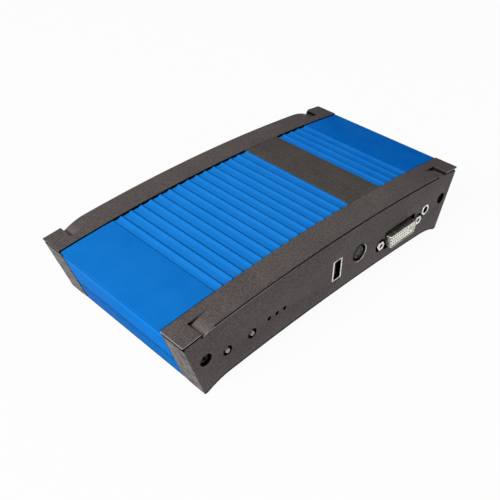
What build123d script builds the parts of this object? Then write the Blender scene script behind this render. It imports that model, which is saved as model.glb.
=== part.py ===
from build123d import *
import math
import os

# A video encoder box: two dark side panels clamp a blue tray and a ribbed blue cover over one
# circuit board. Sizes are in mm. X runs along the case, -Y is the socket side and +Z is up.
# The origin is the middle of the whole footprint, on the surface that the box stands on.

# Case outline, seen from the socket side
TOP_LENGTH = 200.0          # corner to corner along the top
FOOT_LENGTH = 177.5         # corner to corner at the feet
END_HEIGHT = 36.2           # top corners above the table
CROWN_HEIGHT = 41.8         # highest point, at mid length
END_FACE_INSET = 0.1        # the end faces stand this far inside the top lip
ARCH_HEIGHT = 6.2           # bottom edge of a side panel at mid length
ARCH_SHOULDER_X = 73.0      # where the long arch turns down to a foot
ARCH_SHOULDER_HEIGHT = 3.85
FOOT_PAD_X = 87.0           # inner end of the flat under each foot
FOOT_INNER_Y = 44.0         # from here inwards a foot's underside rises
FOOT_RISE = 1.4             # how far it has risen at the panel's inner edge
FOOT_ROUNDING = 0.6         # radius of a foot's outer corner

# Case in plan
HALF_DEPTH = 50.7           # middle plane to a side panel's face
RAIL_INNER = 36.85          # middle plane to a side panel's inner edge
COVER_HALF = 36.35          # middle plane to the cover's side
DVI_REACH = 2.7             # how far the DVI shell stands out of the panel

# Wall thicknesses and gaps
PANEL_WALL = 2.4
RAIL_THICKNESS = 2.6
TRAY_WALL = 2.0
COVER_WALL = 2.2
COVER_SINK = 0.3            # the blue cover lies this far below the rails
FIT_GAP = 0.1

# Lip and shadow groove under a side panel's top edge
LIP_HEIGHT = 0.9
GROOVE_HEIGHT = 0.9
GROOVE_DEPTH = 0.9
GROOVE_END_X = 82.3         # the face's groove stops here, where a notch cuts the lip
END_GROOVE_HEIGHT = 1.5
END_GROOVE_DEPTH = 0.45

# Notches near the ends of each rail
NOTCH_START_X = 76.0
NOTCH_FOOT_X = 88.3         # lowest line, at the foot of the leaning wall
NOTCH_FLOOR_Z = 34.75
NOTCH_WALL_X = 89.8         # the wall's upper edge
NOTCH_WALL_Z = 37.35
NOTCH_INNER = 42.1          # the rail's inner strip stays whole up to here
NOTCH_FLOOR_WALL = 2.6      # thickness left under a notch's floor

# Hollows behind the side panels
POCKET_END_X = 79.4         # end of the long hollow behind each panel
POCKET_RIB = 2.2            # upright rib between the long hollow and an end hollow
PANEL_END_WALL = 3.2

# Split between the tray and the cover, at the ends
TRAY_BOTTOM = 0.8
SPLIT_HEIGHT = 15.4
TRAY_RIM = 9.9              # tray side walls stop here, under the board

# Fine lines across the blue ends
COVER_LIP = 1.0             # lip left above the cover's groove
COVER_GROOVE_HEIGHT = 2.5
COVER_GROOVE_DEPTH = 0.5
TRAY_LINE_DROP = 3.2        # the tray's line lies this far under the split
TRAY_LINE_HALF = 0.5
TRAY_LINE_DEPTH = 0.3
COVER_END_ROUNDING = 0.4
TRAY_EDGE_ROUNDING = 0.25

# Tray inside
TRAY_END_WALL_X = 84.0      # from here outwards the tray keeps its full height
STANDOFF_RADIUS = 3.6
MIDDLE_STANDOFF_RADIUS = 3.2
POST_LOW_X = 84.2           # corner posts for the panel screws
POST_HIGH_X = 91.0
POST_INNER_Y = 26.5
POST_TOP = 26.0
POST_BORE_Y = 27.6          # bottom of a post's bore
SCREW_TIP_Y = 29.0
POST_CLEARANCE = 1.2        # from a post to the sloping end face
VENT_COUNT = 12             # air slots in each of two rows
VENT_PITCH = 5.0
VENT_MIDDLE_X = 8.0
VENT_ROW_Y = 12.0
VENT_HALF_WIDTH = 0.8
VENT_HALF_LENGTH = 9.0

# Cover inside
SPLIT_GAP = 0.15            # between the tray's rim and the cover
COVER_SKIRT_X = 91.0        # between these the cover's sides end high up
COVER_SKIRT_Z = 30.5
FLANGE_HALF_LENGTH = 76.0
FLANGE_THICKNESS = 1.35
FLANGE_REACH_Y = 40.5
COVER_BOSS_RADIUS = 3.4
COVER_BOSS_BORE = 11.0      # depth of the bore above the board

# Ribs across the cover: narrow crests between flat grooves
RIB_PITCH = 6.155
FIRST_CREST_X = -64.25
CREST_COUNT = 23
FIRST_GROOVE_X = -69.25
RIB_DEPTH = 0.7
CREST_HALF = 0.25
DROP_RUN = 0.9              # steep side of a rib, towards +X
RISE_RUN = 1.5              # gentle side of a rib, towards -X

# Crossbar between the two blue fields
BRIDGE_LOW_X = 21.9
BRIDGE_HIGH_X = 46.8
BRIDGE_THICKNESS = 2.85
BRIDGE_PEG_RADIUS = 1.5
BRIDGE_PEG_BOTTOM = 35.8
BRIDGE_PEG_X = 8.0          # pegs to each side of the crossbar's middle
BRIDGE_PEG_Y = 28.0
BRIDGE_SEAT_MARGIN = 2.2
BRIDGE_SEAT_THICKNESS = 4.2
BRIDGE_LAYER_HALF = 60.0    # half length of the layer that the crossbar is cut from

# Places on the socket side, X and Z
PANEL_SCREW_X = {-1: -87.5, 1: 88.4}   # one end and the other
PANEL_SCREW_Z = 20.7
BUTTON_X = (-74.95, -59.9)
BUTTON_Z = 17.4
LAMP_X = (-49.1, -44.0, -38.95)
LAMP_Z = 19.3
USB_X = -1.2
USB_Z = 20.25
DIN_X = 15.9
DIN_Z = 21.5
DVI_X = 50.4
DVI_Z = 16.6
AUDIO_X = 73.45
AUDIO_Z = 20.2

# Places on the back
NETWORK_X = -22.0
POWER_X = -62.0
POWER_Z = 17.9

# Board
BOARD_TOP = 11.8
BOARD_THICKNESS = 1.6
BOARD_HALF_LENGTH = 82.0
BOARD_HALF_DEPTH = 47.3
BOARD_WING_X = 78.6         # its parts inside the side panels are this long
STANDOFF_X = 70.0
STANDOFF_Y = 26.0
MIDDLE_SCREW_X = 0.0
CELL_X = -51.0              # middle of the clock cell
CELL_Y = -20.5

# Panel screws and their holes
PANEL_HOLE_RADIUS = 3.25
PANEL_HOLE_DEPTH = 3.4
SCREW_SHANK_RADIUS = 1.5
SCREW_HEAD_RADIUS = 2.75
SCREW_HEAD_HEIGHT = 2.2
SCREW_HEAD_ROUNDING = 0.8
SCREW_RUNNING_GAP = 0.05    # from a shank or peg to the hole that it fills
HEAD_GAP = 0.2              # round a case screw's head, and round the sockets at the back
CASE_SCREW_SINK = 0.6       # of its head in the tray's underside
CASE_SCREW_TIP = 8.0        # above the board
RECESS_REACH = 1.6
RECESS_HALF_WIDTH = 0.35
RECESS_DEPTH = 1.2
BOARD_SCREW_HEAD_RADIUS = 2.5
BOARD_SCREW_HEAD_HEIGHT = 1.6
BOARD_SCREW_SHANK_RADIUS = 1.15
BOARD_SCREW_LENGTH = 6.0
BOARD_SCREW_RECESS_DEPTH = 0.9
INSERT_RADIUS = 2.1
INSERT_LENGTH = 6.0
BOSS_RADIUS = 5.3

# Sockets and controls
SOCKET_GAP = 0.15           # between a socket's metal and the panel
BUTTON_HOLE_RADIUS = 2.7
BUTTON_RADIUS = 1.2
BUTTON_GAP = 0.1
BUTTON_REACH = 0.5          # how far a button at rest stands out of the panel
BUTTON_EDGE = 0.25
BUTTON_FLANGE_RADIUS = 2.3
BUTTON_FLANGE_THICKNESS = 1.0
COLLAR_SINK = 0.9           # of a collar's front behind the panel's face
COLLAR_BACK = 3.9           # of its back
COLLAR_FLANGE = 0.9
COLLAR_FIT = 0.03           # round the collars, and round the rings in their bodies
SWITCH_FRONT = 7.2          # how far the switches stand behind the panel's face
SWITCH_DEPTH = 4.0
SWITCH_HEIGHT = 7.0
SWITCH_HALF_WIDTH = 3.1
PLUNGER_RADIUS = 1.2
PLUNGER_ROOM_RADIUS = 1.5
PLUNGER_ROOM_DEPTH = 2.8
PLUNGER_REACH = 1.4         # how far a plunger stands in its switch
LAMP_RADIUS = 1.15
LAMP_SINK = 2.2
LAMP_PIPE_BACK = 6.0
LED_RADIUS = 1.2
LED_HALF_WIDTH = 1.6
USB_WIDTH = 5.8
USB_HEIGHT = 12.0
USB_DEPTH = 14.0
USB_WALL = 0.35
USB_FLARE_WIDTH = 1.2       # how much wider the shell's mouth is
USB_FLARE_HEIGHT = 0.6
USB_FLARE_DEPTH = 0.5
USB_TONGUE_X = 1.75         # from the socket's middle to the tongue's far side
USB_TONGUE_THICKNESS = 1.8
USB_TONGUE_HALF_HEIGHT = 5.3
USB_ROOT_HALF_WIDTH = 2.4
USB_ROOT_HALF_HEIGHT = 5.5
USB_ROOT_DEPTH = 3.2
USB_CONTACT_Z = (-3.5, -1.0, 1.0, 3.5)
DIN_RADIUS = 5.2
DIN_DEPTH = 9.0
DIN_RING_WALL = 0.35
DIN_RING_REACH = 0.25
DIN_CORE_SINK = 0.6
DIN_POST_RADIUS = 3.5
DIN_SLOT_DEPTH = 5.0
DIN_WAYS = ((-1.7, 1.7), (1.7, 1.7), (-2.1, -0.6), (2.1, -0.6))
DIN_WAY_RADIUS = 0.5
DIN_WAY_DEPTH = 4.0
DIN_BODY_HALF = 7.0
SOCKET_BODY_FRONT = -47.9   # fronts of the mini-DIN's and the audio jack's bodies
DVI_TOP_WIDTH = 23.0
DVI_BOTTOM_WIDTH = 20.8
DVI_HEIGHT = 7.8
DVI_SHELL_WALL = 0.45
DVI_CORNER = 1.1
DVI_SHOULDER_Z = 0.2        # where its sides begin to slope
DVI_OPENING_WIDTH = 26.6
DVI_OPENING_HEIGHT = 11.3
DVI_OPENING_RISE = 0.65     # of the opening's middle over the socket's
DVI_OPENING_CORNER = 1.2
DVI_HOUSING_FRONT = -47.5
DVI_HOUSING_BACK = -33.0
DVI_SHELL_ROOT = 4.0        # depth of the shell in the housing
DVI_BLOCK_SINK = 0.45
DVI_PIN_PITCH = 1.905
DVI_FIRST_WAY = -9.5        # from the socket's middle
DVI_WAY_HALF = 0.5
DVI_WAY_DEPTH = 3.0
DVI_BLADE_X = 7.9
DVI_BLADE_HALF_WIDTH = 2.3
DVI_BLADE_HALF_HEIGHT = 0.4
DVI_BLADE_WAYS = (1.3, 1.75)
DVI_LEAD_COUNT = 24
DVI_LEAD_PITCH = 1.15
JACKSCREW_SPACING = 33.3
JACKSCREW_FLATS = 4.8
JACKSCREW_REACH = 0.8
JACKSCREW_BORE = 1.25
JACKSCREW_HOLE_RADIUS = 3.8
JACKSCREW_STEM_RADIUS = 1.5
AUDIO_RING_RADIUS = 3.2
AUDIO_BORE = 1.8
AUDIO_SLEEVE_LENGTH = 12.0
AUDIO_TIP_ROOM = 2.4        # radius of the room for the plug's tip, behind the sleeve
AUDIO_REACH = 0.35
AUDIO_RING_DEPTH = 2.9
AUDIO_TUBE_RADIUS = 2.6
AUDIO_BODY_HALF_WIDTH = 3.6
AUDIO_BODY_DEPTH = 13.5
AUDIO_BODY_RISE = 4.4
NETWORK_WIDTH = 16.0
NETWORK_HEIGHT = 13.5
NETWORK_DEPTH = 20.5
NETWORK_REACH = 0.2
NETWORK_SHEET = 0.3
NETWORK_HOUSING_HALF = 7.65
NETWORK_HOUSING_HEIGHT = 13.15
NETWORK_CAVITY_DEPTH = 13.0
NETWORK_CAVITY_HALF = 5.9
NETWORK_CAVITY_FLOOR = 1.6
NETWORK_CAVITY_ROOF = 8.4
NETWORK_LATCH_HALF = 3.1
NETWORK_LATCH_ROOF = 10.6
POWER_NOSE_RADIUS = 4.0
POWER_BORE_RADIUS = 3.0
POWER_BODY_HALF_WIDTH = 4.8
POWER_BODY_RISE = 5.2
POWER_PIN_RADIUS = 1.0
POWER_PIN_TIP = 0.35

FAR = 300.0                 # longer than the case, for cutting tools

SAGITTA = CROWN_HEIGHT - END_HEIGHT
TOP_RADIUS = ((TOP_LENGTH / 2) ** 2 + SAGITTA ** 2) / (2 * SAGITTA)
BOARD_BOTTOM = BOARD_TOP - BOARD_THICKNESS
FRAME_SHIFT = DVI_REACH / 2  # centres the footprint, shell included, on the origin
DVI_FRONT = -(HALF_DEPTH + DVI_REACH)
BUTTON_FLANGE_FRONT = -HALF_DEPTH + COLLAR_BACK + 0.05


def top_z(x, drop=0.0):
    """Height of the crowned top, or of an even layer under it, at one X."""
    radius = TOP_RADIUS - drop
    return CROWN_HEIGHT - TOP_RADIUS + math.sqrt(radius ** 2 - x ** 2)


def end_x(z, inset=0.0):
    """Distance from mid length to the sloping end face, at one height."""
    slope = (TOP_LENGTH / 2 - END_FACE_INSET - FOOT_LENGTH / 2) / END_HEIGHT
    return FOOT_LENGTH / 2 + slope * z - inset


def box(x_low, x_high, y_low, y_high, z_low, z_high):
    """A block between six planes."""
    block = Box(x_high - x_low, y_high - y_low, z_high - z_low)
    return Pos((x_low + x_high) / 2, (y_low + y_high) / 2, (z_low + z_high) / 2) * block


def rod_y(x, z, radius, y_low, y_high):
    """A round bar along Y."""
    bar = Rot(90, 0, 0) * Cylinder(radius, y_high - y_low)
    return Pos(x, (y_low + y_high) / 2, z) * bar


def rod_z(x, y, radius, z_low, z_high):
    """A round bar along Z."""
    return Pos(x, y, (z_low + z_high) / 2) * Cylinder(radius, z_high - z_low)


def slab(edges, y_low, y_high):
    """A closed outline in the XZ plane, stretched from one Y to another."""
    face = Pos(0, y_low, 0) * make_face(edges)
    return extrude(face, amount=y_high - y_low, dir=(0, 1, 0))


def polygon(points):
    """The edges of a closed outline through points of the XZ plane."""
    corners = [(x, 0, z) for x, z in points]
    return Polyline(*corners, close=True).edges()


def crown_arc(half_length, drop):
    """The crowned top line, lowered by an even layer."""
    end = top_z(half_length, drop)
    middle = top_z(0, drop)
    return ThreePointArc((half_length, 0, end), (0, 0, middle), (-half_length, 0, end))


def layer(half_length, drop, thickness, y_low, y_high):
    """An even layer that follows the crowned top."""
    upper = crown_arc(half_length, drop)
    lower = crown_arc(half_length, drop + thickness)
    sides = [Line(upper @ 0, lower @ 0), Line(upper @ 1, lower @ 1)]
    return slab([upper, lower] + sides, y_low, y_high)


def plan_block(inner, inset):
    """All that lies between a plane and a side panel's face, on the socket side."""
    return box(-TOP_LENGTH, TOP_LENGTH, inset - HALF_DEPTH, -inner, -5, 55)


def side_outline():
    """A side panel seen from the socket side: crowned top, sloping ends and an arched bottom."""
    half = TOP_LENGTH / 2
    foot = FOOT_LENGTH / 2
    crown = crown_arc(half, 0)
    arch_drop = ARCH_HEIGHT - ARCH_SHOULDER_HEIGHT
    arch_slope = 2 * arch_drop / ARCH_SHOULDER_X
    shoulder = (ARCH_SHOULDER_X, 0, ARCH_SHOULDER_HEIGHT)
    arch = ThreePointArc((-ARCH_SHOULDER_X, 0, ARCH_SHOULDER_HEIGHT), (0, 0, ARCH_HEIGHT), shoulder)
    edges = [crown, arch]
    for side in (-1, 1):
        pad = (side * FOOT_PAD_X, 0, 0)
        start = (side * ARCH_SHOULDER_X, 0, ARCH_SHOULDER_HEIGHT)
        edges.append(TangentArc(start, pad, tangent=(side, 0, -arch_slope)))
        edges.append(Line(pad, (side * foot, 0, 0)))
        edges.append(Line((side * foot, 0, 0), (side * half, 0, END_HEIGHT)))
    return edges


def notch(side):
    """The sunk step near one end of a rail, cut into its outer part only."""
    start = (side * NOTCH_START_X, 0, top_z(NOTCH_START_X))
    slope = NOTCH_START_X / TOP_RADIUS
    foot = (side * NOTCH_FOOT_X, 0, NOTCH_FLOOR_Z)
    ramp = TangentArc(start, foot, tangent=(side, 0, -slope))
    roof = CROWN_HEIGHT + 5
    lean = (NOTCH_WALL_X - NOTCH_FOOT_X) / (NOTCH_WALL_Z - NOTCH_FLOOR_Z)
    wall = Line(foot, (side * (NOTCH_FOOT_X + lean * (roof - NOTCH_FLOOR_Z)), 0, roof))
    lid = Line(wall @ 1, (side * NOTCH_START_X, 0, roof))
    return slab([ramp, wall, lid, Line(lid @ 1, start)], -FAR, -NOTCH_INNER)


def shadow_groove(blank):
    """The fine groove under the lip of a side panel's top edge, along its face and not past the notches."""
    band = Pos(0, 0, -LIP_HEIGHT) * blank - Pos(0, 0, -LIP_HEIGHT - GROOVE_HEIGHT) * blank
    band -= plan_block(0, GROOVE_DEPTH)
    for side in (-1, 1):
        reach = sorted((side * GROOVE_END_X, side * NOTCH_WALL_X))
        band -= box(reach[0], reach[1], -FAR, 0, 0, CROWN_HEIGHT)
    return band


def end_relief(side):
    """What is cut from one end, so that the top edge stands out as a lip over a shadow groove."""
    half = TOP_LENGTH / 2
    lip_bottom = END_HEIGHT - LIP_HEIGHT
    groove_bottom = lip_bottom - END_GROOVE_HEIGHT
    face = [(FOOT_LENGTH / 2, 0), (half + 2, 0), (half + 2, lip_bottom), (end_x(lip_bottom), lip_bottom)]
    groove = [
        (end_x(lip_bottom, END_GROOVE_DEPTH), lip_bottom),
        (half + 2, lip_bottom),
        (half + 2, groove_bottom),
        (end_x(groove_bottom, END_GROOVE_DEPTH), groove_bottom),
    ]
    cuts = Part()
    for outline in (face, groove):
        cuts += slab(polygon([(side * x, z) for x, z in outline]), -FAR / 2, -RAIL_INNER + 1)
    return cuts


def foot_bevel():
    """What is cut so that the feet's undersides rise towards the tray."""
    slope = FOOT_RISE / (FOOT_INNER_Y - RAIL_INNER)
    reach = 2.0
    corners = [
        (0, -FOOT_INNER_Y, 0),
        (0, -RAIL_INNER + reach, FOOT_RISE + slope * reach),
        (0, -RAIL_INNER + reach, -1),
        (0, -FOOT_INNER_Y, -1),
    ]
    face = Pos(-TOP_LENGTH / 2, 0, 0) * make_face(Polyline(*corners, close=True).edges())
    return extrude(face, amount=TOP_LENGTH, dir=(1, 0, 0))


def panel_pockets(outline):
    """The hollows moulded into the back of a side panel: one long, and one round each boss."""
    depth = plan_block(RAIL_INNER - 5, PANEL_WALL)
    middle = (Pos(0, 0, -RAIL_THICKNESS) * outline) & (Pos(0, 0, PANEL_WALL) * outline)
    middle &= box(-POCKET_END_X, POCKET_END_X, -FAR, 0, 0, FAR)
    below_notch = CROWN_HEIGHT - NOTCH_FLOOR_Z - NOTCH_FLOOR_WALL
    pockets = middle
    for side in (-1, 1):
        end = (Pos(0, 0, -below_notch) * outline) & (Pos(-side * PANEL_END_WALL, 0, PANEL_WALL) * outline)
        reach = sorted((side * (POCKET_END_X + POCKET_RIB), side * FAR))
        end &= box(reach[0], reach[1], -FAR, 0, FOOT_RISE + PANEL_WALL, FAR)
        pockets += end - rod_y(PANEL_SCREW_X[side], PANEL_SCREW_Z, BOSS_RADIUS, -FAR, 0)
    return pockets & depth


def panel_screw_holes():
    """A deep counterbore and a clearance hole for each screw through a side panel."""
    holes = Part()
    outer = HALF_DEPTH
    for side in (-1, 1):
        x = PANEL_SCREW_X[side]
        holes += rod_y(x, PANEL_SCREW_Z, PANEL_HOLE_RADIUS, -outer - 2, -outer + PANEL_HOLE_DEPTH)
        holes += rod_y(x, PANEL_SCREW_Z, SCREW_SHANK_RADIUS + FIT_GAP, -outer, -RAIL_INNER + 2)
    return holes


def blank_panel():
    """A side panel for the socket side, with no socket openings yet."""
    outline = slab(side_outline(), -FAR / 2, 0)
    blank = outline & plan_block(RAIL_INNER, 0)
    low = [edge for edge in blank.edges().filter_by(Axis.Y) if edge.center().Z < 1]
    corners = [edge for edge in low if abs(edge.center().X) > FOOT_PAD_X + 1]
    blank = fillet(corners, FOOT_ROUNDING)
    blank -= shadow_groove(blank)
    for side in (-1, 1):
        blank -= notch(side)
        blank -= end_relief(side)
    blank -= foot_bevel()
    blank -= panel_pockets(outline)
    blank -= panel_screw_holes()
    return blank


def rounded_block_y(x, z, width, height, radius, y_low, y_high):
    """A block along Y with its four long edges rounded."""
    sketch = Plane.XZ * Pos(x, z) * RectangleRounded(width, height, radius)
    return extrude(Pos(0, y_low, 0) * sketch, amount=y_high - y_low, dir=(0, 1, 0))


def dvi_opening():
    """The opening for the DVI shell and its two jackscrews."""
    middle = DVI_Z + DVI_OPENING_RISE
    width, height = DVI_OPENING_WIDTH, DVI_OPENING_HEIGHT
    opening = rounded_block_y(DVI_X, middle, width, height, DVI_OPENING_CORNER, -FAR, -RAIL_INNER)
    for side in (-1, 1):
        x = DVI_X + side * JACKSCREW_SPACING / 2
        opening += rod_y(x, DVI_Z, JACKSCREW_HOLE_RADIUS, -FAR, -RAIL_INNER)
    return opening


def front_openings():
    """Every opening through the front panel's wall."""
    low, high = -FAR, -RAIL_INNER
    cuts = dvi_opening()
    for x in BUTTON_X:
        cuts += rod_y(x, BUTTON_Z, BUTTON_HOLE_RADIUS, low, high)
    for x in LAMP_X:
        cuts += rod_y(x, LAMP_Z, LAMP_RADIUS, low, high)
    usb_width = USB_WIDTH + USB_FLARE_WIDTH + 2 * SOCKET_GAP
    usb_height = USB_HEIGHT + USB_FLARE_HEIGHT + 2 * SOCKET_GAP
    cuts += rounded_block_y(USB_X, USB_Z, usb_width, usb_height, 0.6, low, high)
    cuts += rod_y(DIN_X, DIN_Z, DIN_RADIUS + SOCKET_GAP, low, high)
    cuts += rod_y(AUDIO_X, AUDIO_Z, AUDIO_RING_RADIUS + SOCKET_GAP, low, high)
    return cuts


def rear_openings():
    """The openings for the network jack and the power jack, cut before the panel is turned round."""
    middle = BOARD_TOP + NETWORK_HEIGHT / 2
    width = NETWORK_WIDTH + 2 * HEAD_GAP
    height = NETWORK_HEIGHT + 2 * HEAD_GAP
    cuts = rounded_block_y(NETWORK_X, middle, width, height, 0.4, -FAR, -RAIL_INNER)
    return cuts + rod_y(POWER_X, POWER_Z, POWER_NOSE_RADIUS + HEAD_GAP, -FAR, -RAIL_INNER)


def front_panel():
    return blank_panel() - front_openings()


def rear_panel():
    return mirror(blank_panel() - rear_openings(), about=Plane.XZ)


def end_profile(z_low, z_high, inset):
    """Corners of the case's middle, between two heights, drawn in from the end faces."""
    return [
        (-end_x(z_low, inset), z_low),
        (end_x(z_low, inset), z_low),
        (end_x(z_high, inset), z_high),
        (-end_x(z_high, inset), z_high),
    ]


def bottom_tray():
    """The blue tray: floor, low side walls, sloping end walls, standoffs and screw posts."""
    half = RAIL_INNER - FIT_GAP
    inset = FIT_GAP
    tray = slab(polygon(end_profile(TRAY_BOTTOM, SPLIT_HEIGHT, inset)), -half, half)
    lower = [e for e in tray.edges().filter_by(Axis.Y) if e.center().Z < TRAY_BOTTOM + 0.1]
    tray = fillet(lower, TRAY_EDGE_ROUNDING)
    for side in (-1, 1):
        tray -= tray_end_line(side)
    floor = TRAY_BOTTOM + TRAY_WALL
    inner = end_profile(floor, SPLIT_HEIGHT + 1, inset + TRAY_WALL)
    tray -= slab(polygon(inner), -half + TRAY_WALL, half - TRAY_WALL)
    tray -= box(-TRAY_END_WALL_X, TRAY_END_WALL_X, -FAR / 2, FAR / 2, TRAY_RIM, FAR)
    for x_side in (-1, 1):
        for y_side in (-1, 1):
            tray += rod_z(x_side * STANDOFF_X, y_side * STANDOFF_Y, STANDOFF_RADIUS, floor - 1, BOARD_BOTTOM)
            tray += screw_post(x_side, y_side)
    for y_side in (-1, 1):
        tray += rod_z(MIDDLE_SCREW_X, y_side * STANDOFF_Y, MIDDLE_STANDOFF_RADIUS, floor - 1, BOARD_BOTTOM)
    return tray - tray_holes() - vent_slots()


def tray_end_line(side):
    """A fine V-shaped line across one end of the tray, below its rim."""
    middle = SPLIT_HEIGHT - TRAY_LINE_DROP
    corners = [
        (end_x(middle + TRAY_LINE_HALF), middle + TRAY_LINE_HALF),
        (end_x(middle, TRAY_LINE_DEPTH), middle),
        (end_x(middle - TRAY_LINE_HALF), middle - TRAY_LINE_HALF),
        (end_x(middle) + 1, middle),
    ]
    return slab(polygon([(side * x, z) for x, z in corners]), -FAR / 2, FAR / 2)


def screw_post(x_side, y_side):
    """A corner post that takes the brass insert for one panel screw."""
    half = RAIL_INNER - FIT_GAP
    x_range = sorted((x_side * POST_LOW_X, x_side * POST_HIGH_X))
    y_range = sorted((y_side * POST_INNER_Y, y_side * half))
    post = box(x_range[0], x_range[1], y_range[0], y_range[1], TRAY_BOTTOM + 1, POST_TOP)
    room = end_profile(TRAY_BOTTOM, POST_TOP + 4, POST_CLEARANCE)
    post &= slab(polygon(room), -RAIL_INNER, RAIL_INNER)
    x = PANEL_SCREW_X[x_side]
    depth = sorted((y_side * (half - INSERT_LENGTH), y_side * (half + 1)))
    tail = sorted((y_side * POST_BORE_Y, y_side * half))
    post -= rod_y(x, PANEL_SCREW_Z, INSERT_RADIUS, depth[0], depth[1])
    return post - rod_y(x, PANEL_SCREW_Z, SCREW_SHANK_RADIUS + FIT_GAP, tail[0], tail[1])


def tray_holes():
    """Countersunk ways for the case screws, and pilot holes for the board screws."""
    holes = Part()
    for x_side in (-1, 1):
        for y_side in (-1, 1):
            x = x_side * STANDOFF_X
            y = y_side * STANDOFF_Y
            holes += rod_z(x, y, SCREW_SHANK_RADIUS + FIT_GAP, 0, FAR / 2)
            seat = TRAY_BOTTOM + SCREW_HEAD_HEIGHT + CASE_SCREW_SINK
            holes += rod_z(x, y, SCREW_HEAD_RADIUS + HEAD_GAP, 0, seat)
    for y_side in (-1, 1):
        radius = BOARD_SCREW_SHANK_RADIUS + SCREW_RUNNING_GAP
        holes += rod_z(MIDDLE_SCREW_X, y_side * STANDOFF_Y, radius, TRAY_BOTTOM + 1, FAR / 2)
    return holes


def vent_slots():
    """Two rows of narrow air slots through the tray's floor."""
    slots = Part()
    wide = VENT_HALF_WIDTH
    long = VENT_HALF_LENGTH
    for row in (-1, 1):
        for index in range(VENT_COUNT):
            x = (index - (VENT_COUNT - 1) / 2) * VENT_PITCH + VENT_MIDDLE_X
            y = row * VENT_ROW_Y
            slots += box(x - wide, x + wide, y - long, y + long, 0, TRAY_BOTTOM + TRAY_WALL + 0.5)
    return slots


def rib_groove(start, stop):
    """The cross section of one flat groove between two rib crests."""
    floor_start = start + DROP_RUN
    floor_stop = stop - RISE_RUN
    depth = COVER_SINK + RIB_DEPTH
    corners = [
        (start, top_z(start, COVER_SINK)),
        (floor_start, top_z(floor_start, depth)),
        (floor_stop, top_z(floor_stop, depth)),
        (stop, top_z(stop, COVER_SINK)),
        (stop, CROWN_HEIGHT + 1),
        (start, CROWN_HEIGHT + 1),
    ]
    return slab(polygon(corners), -COVER_HALF - 1, COVER_HALF + 1)


def crest_x(index):
    return FIRST_CREST_X + index * RIB_PITCH


def rib_grooves():
    """All the grooves that leave the ribs standing."""
    grooves = [rib_groove(FIRST_GROOVE_X, crest_x(0) - CREST_HALF)]
    for index in range(CREST_COUNT - 1):
        grooves.append(rib_groove(crest_x(index) + CREST_HALF, crest_x(index + 1) - CREST_HALF))
    return grooves


def cover_shell(inset, drop, half, z_low):
    """The cover's outside, or with more inset and drop its inside, as one block."""
    corner_z = top_z(end_x(END_HEIGHT - drop, inset), drop)
    corner_x = end_x(corner_z, inset)
    crown = crown_arc(corner_x, drop)
    low = (end_x(z_low, inset), 0, z_low)
    low_left = (-low[0], 0, z_low)
    edges = [crown, Line(crown @ 0, low), Line(low, low_left), Line(low_left, crown @ 1)]
    return slab(edges, -half, half)


def top_cover():
    """The ribbed blue cover, with flanges that the rails hold down and a sunk seat for the crossbar."""
    bottom = SPLIT_HEIGHT + SPLIT_GAP
    cover = cover_shell(0.0, COVER_SINK, COVER_HALF, bottom)
    ends = [e for e in cover.edges().filter_by(Axis.Y) if e.center().Z > 30]
    cover = fillet(ends, COVER_END_ROUNDING)
    inside = cover_shell(COVER_WALL, COVER_SINK + COVER_WALL, COVER_HALF - TRAY_WALL, bottom - 2)
    cover -= inside
    cover -= box(-COVER_SKIRT_X, COVER_SKIRT_X, -FAR / 2, FAR / 2, 0, COVER_SKIRT_Z)
    for groove in rib_grooves():
        cover -= groove
    flange_top = RAIL_THICKNESS + SPLIT_GAP
    for side in (-1, 1):
        cover -= cover_end_groove(side)
        reach = sorted((side * (COVER_HALF - 0.5), side * FLANGE_REACH_Y))
        cover += layer(FLANGE_HALF_LENGTH, flange_top, FLANGE_THICKNESS, reach[0], reach[1])
    cover += cover_bosses()
    cover += bridge_seat()
    cover -= bridge_block(FIT_GAP)
    for x, y in bridge_pegs():
        cover -= rod_z(x, y, BRIDGE_PEG_RADIUS + SCREW_RUNNING_GAP, COVER_SKIRT_Z, CROWN_HEIGHT)
    return cover


def cover_end_groove(side):
    """The groove under the top lip at one end of the cover: a short roof and a long slope below it."""
    top = END_HEIGHT - COVER_SINK - COVER_LIP
    deep = top - COVER_GROOVE_DEPTH / 2
    low = top - COVER_GROOVE_HEIGHT
    corners = [
        (end_x(top) + 1, top),
        (end_x(deep, COVER_GROOVE_DEPTH), deep),
        (end_x(low), low),
        (end_x(low) + 1, low),
    ]
    return slab(polygon([(side * x, z) for x, z in corners]), -FAR / 2, FAR / 2)


def cover_bosses():
    """Four posts that reach down to the board and take the case screws."""
    bosses = Part()
    for x_side in (-1, 1):
        for y_side in (-1, 1):
            x = x_side * STANDOFF_X
            y = y_side * STANDOFF_Y
            roof = top_z(STANDOFF_X, COVER_SINK + COVER_WALL + FIT_GAP)
            post = rod_z(x, y, COVER_BOSS_RADIUS, BOARD_TOP + SCREW_RUNNING_GAP, roof)
            bosses += post - rod_z(x, y, SCREW_SHANK_RADIUS, 0, BOARD_TOP + COVER_BOSS_BORE)
    return bosses


def bridge_block(gap):
    """The crossbar's space: flush with the rails on top."""
    bar = layer(BRIDGE_LAYER_HALF, -2 * gap, BRIDGE_THICKNESS + 2 * gap, -FAR / 2, FAR / 2)
    half = RAIL_INNER - FIT_GAP + gap
    return bar & box(BRIDGE_LOW_X - gap, BRIDGE_HIGH_X + gap, -half, half, 0, 60)


def bridge_seat():
    """Thicker roof under the crossbar."""
    half = COVER_HALF - 0.5
    seat = layer(BRIDGE_LAYER_HALF, COVER_SINK + 1.0, BRIDGE_SEAT_THICKNESS, -half, half)
    low = BRIDGE_LOW_X - BRIDGE_SEAT_MARGIN
    high = BRIDGE_HIGH_X + BRIDGE_SEAT_MARGIN
    return seat & box(low, high, -COVER_HALF, COVER_HALF, 0, 60)


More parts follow.
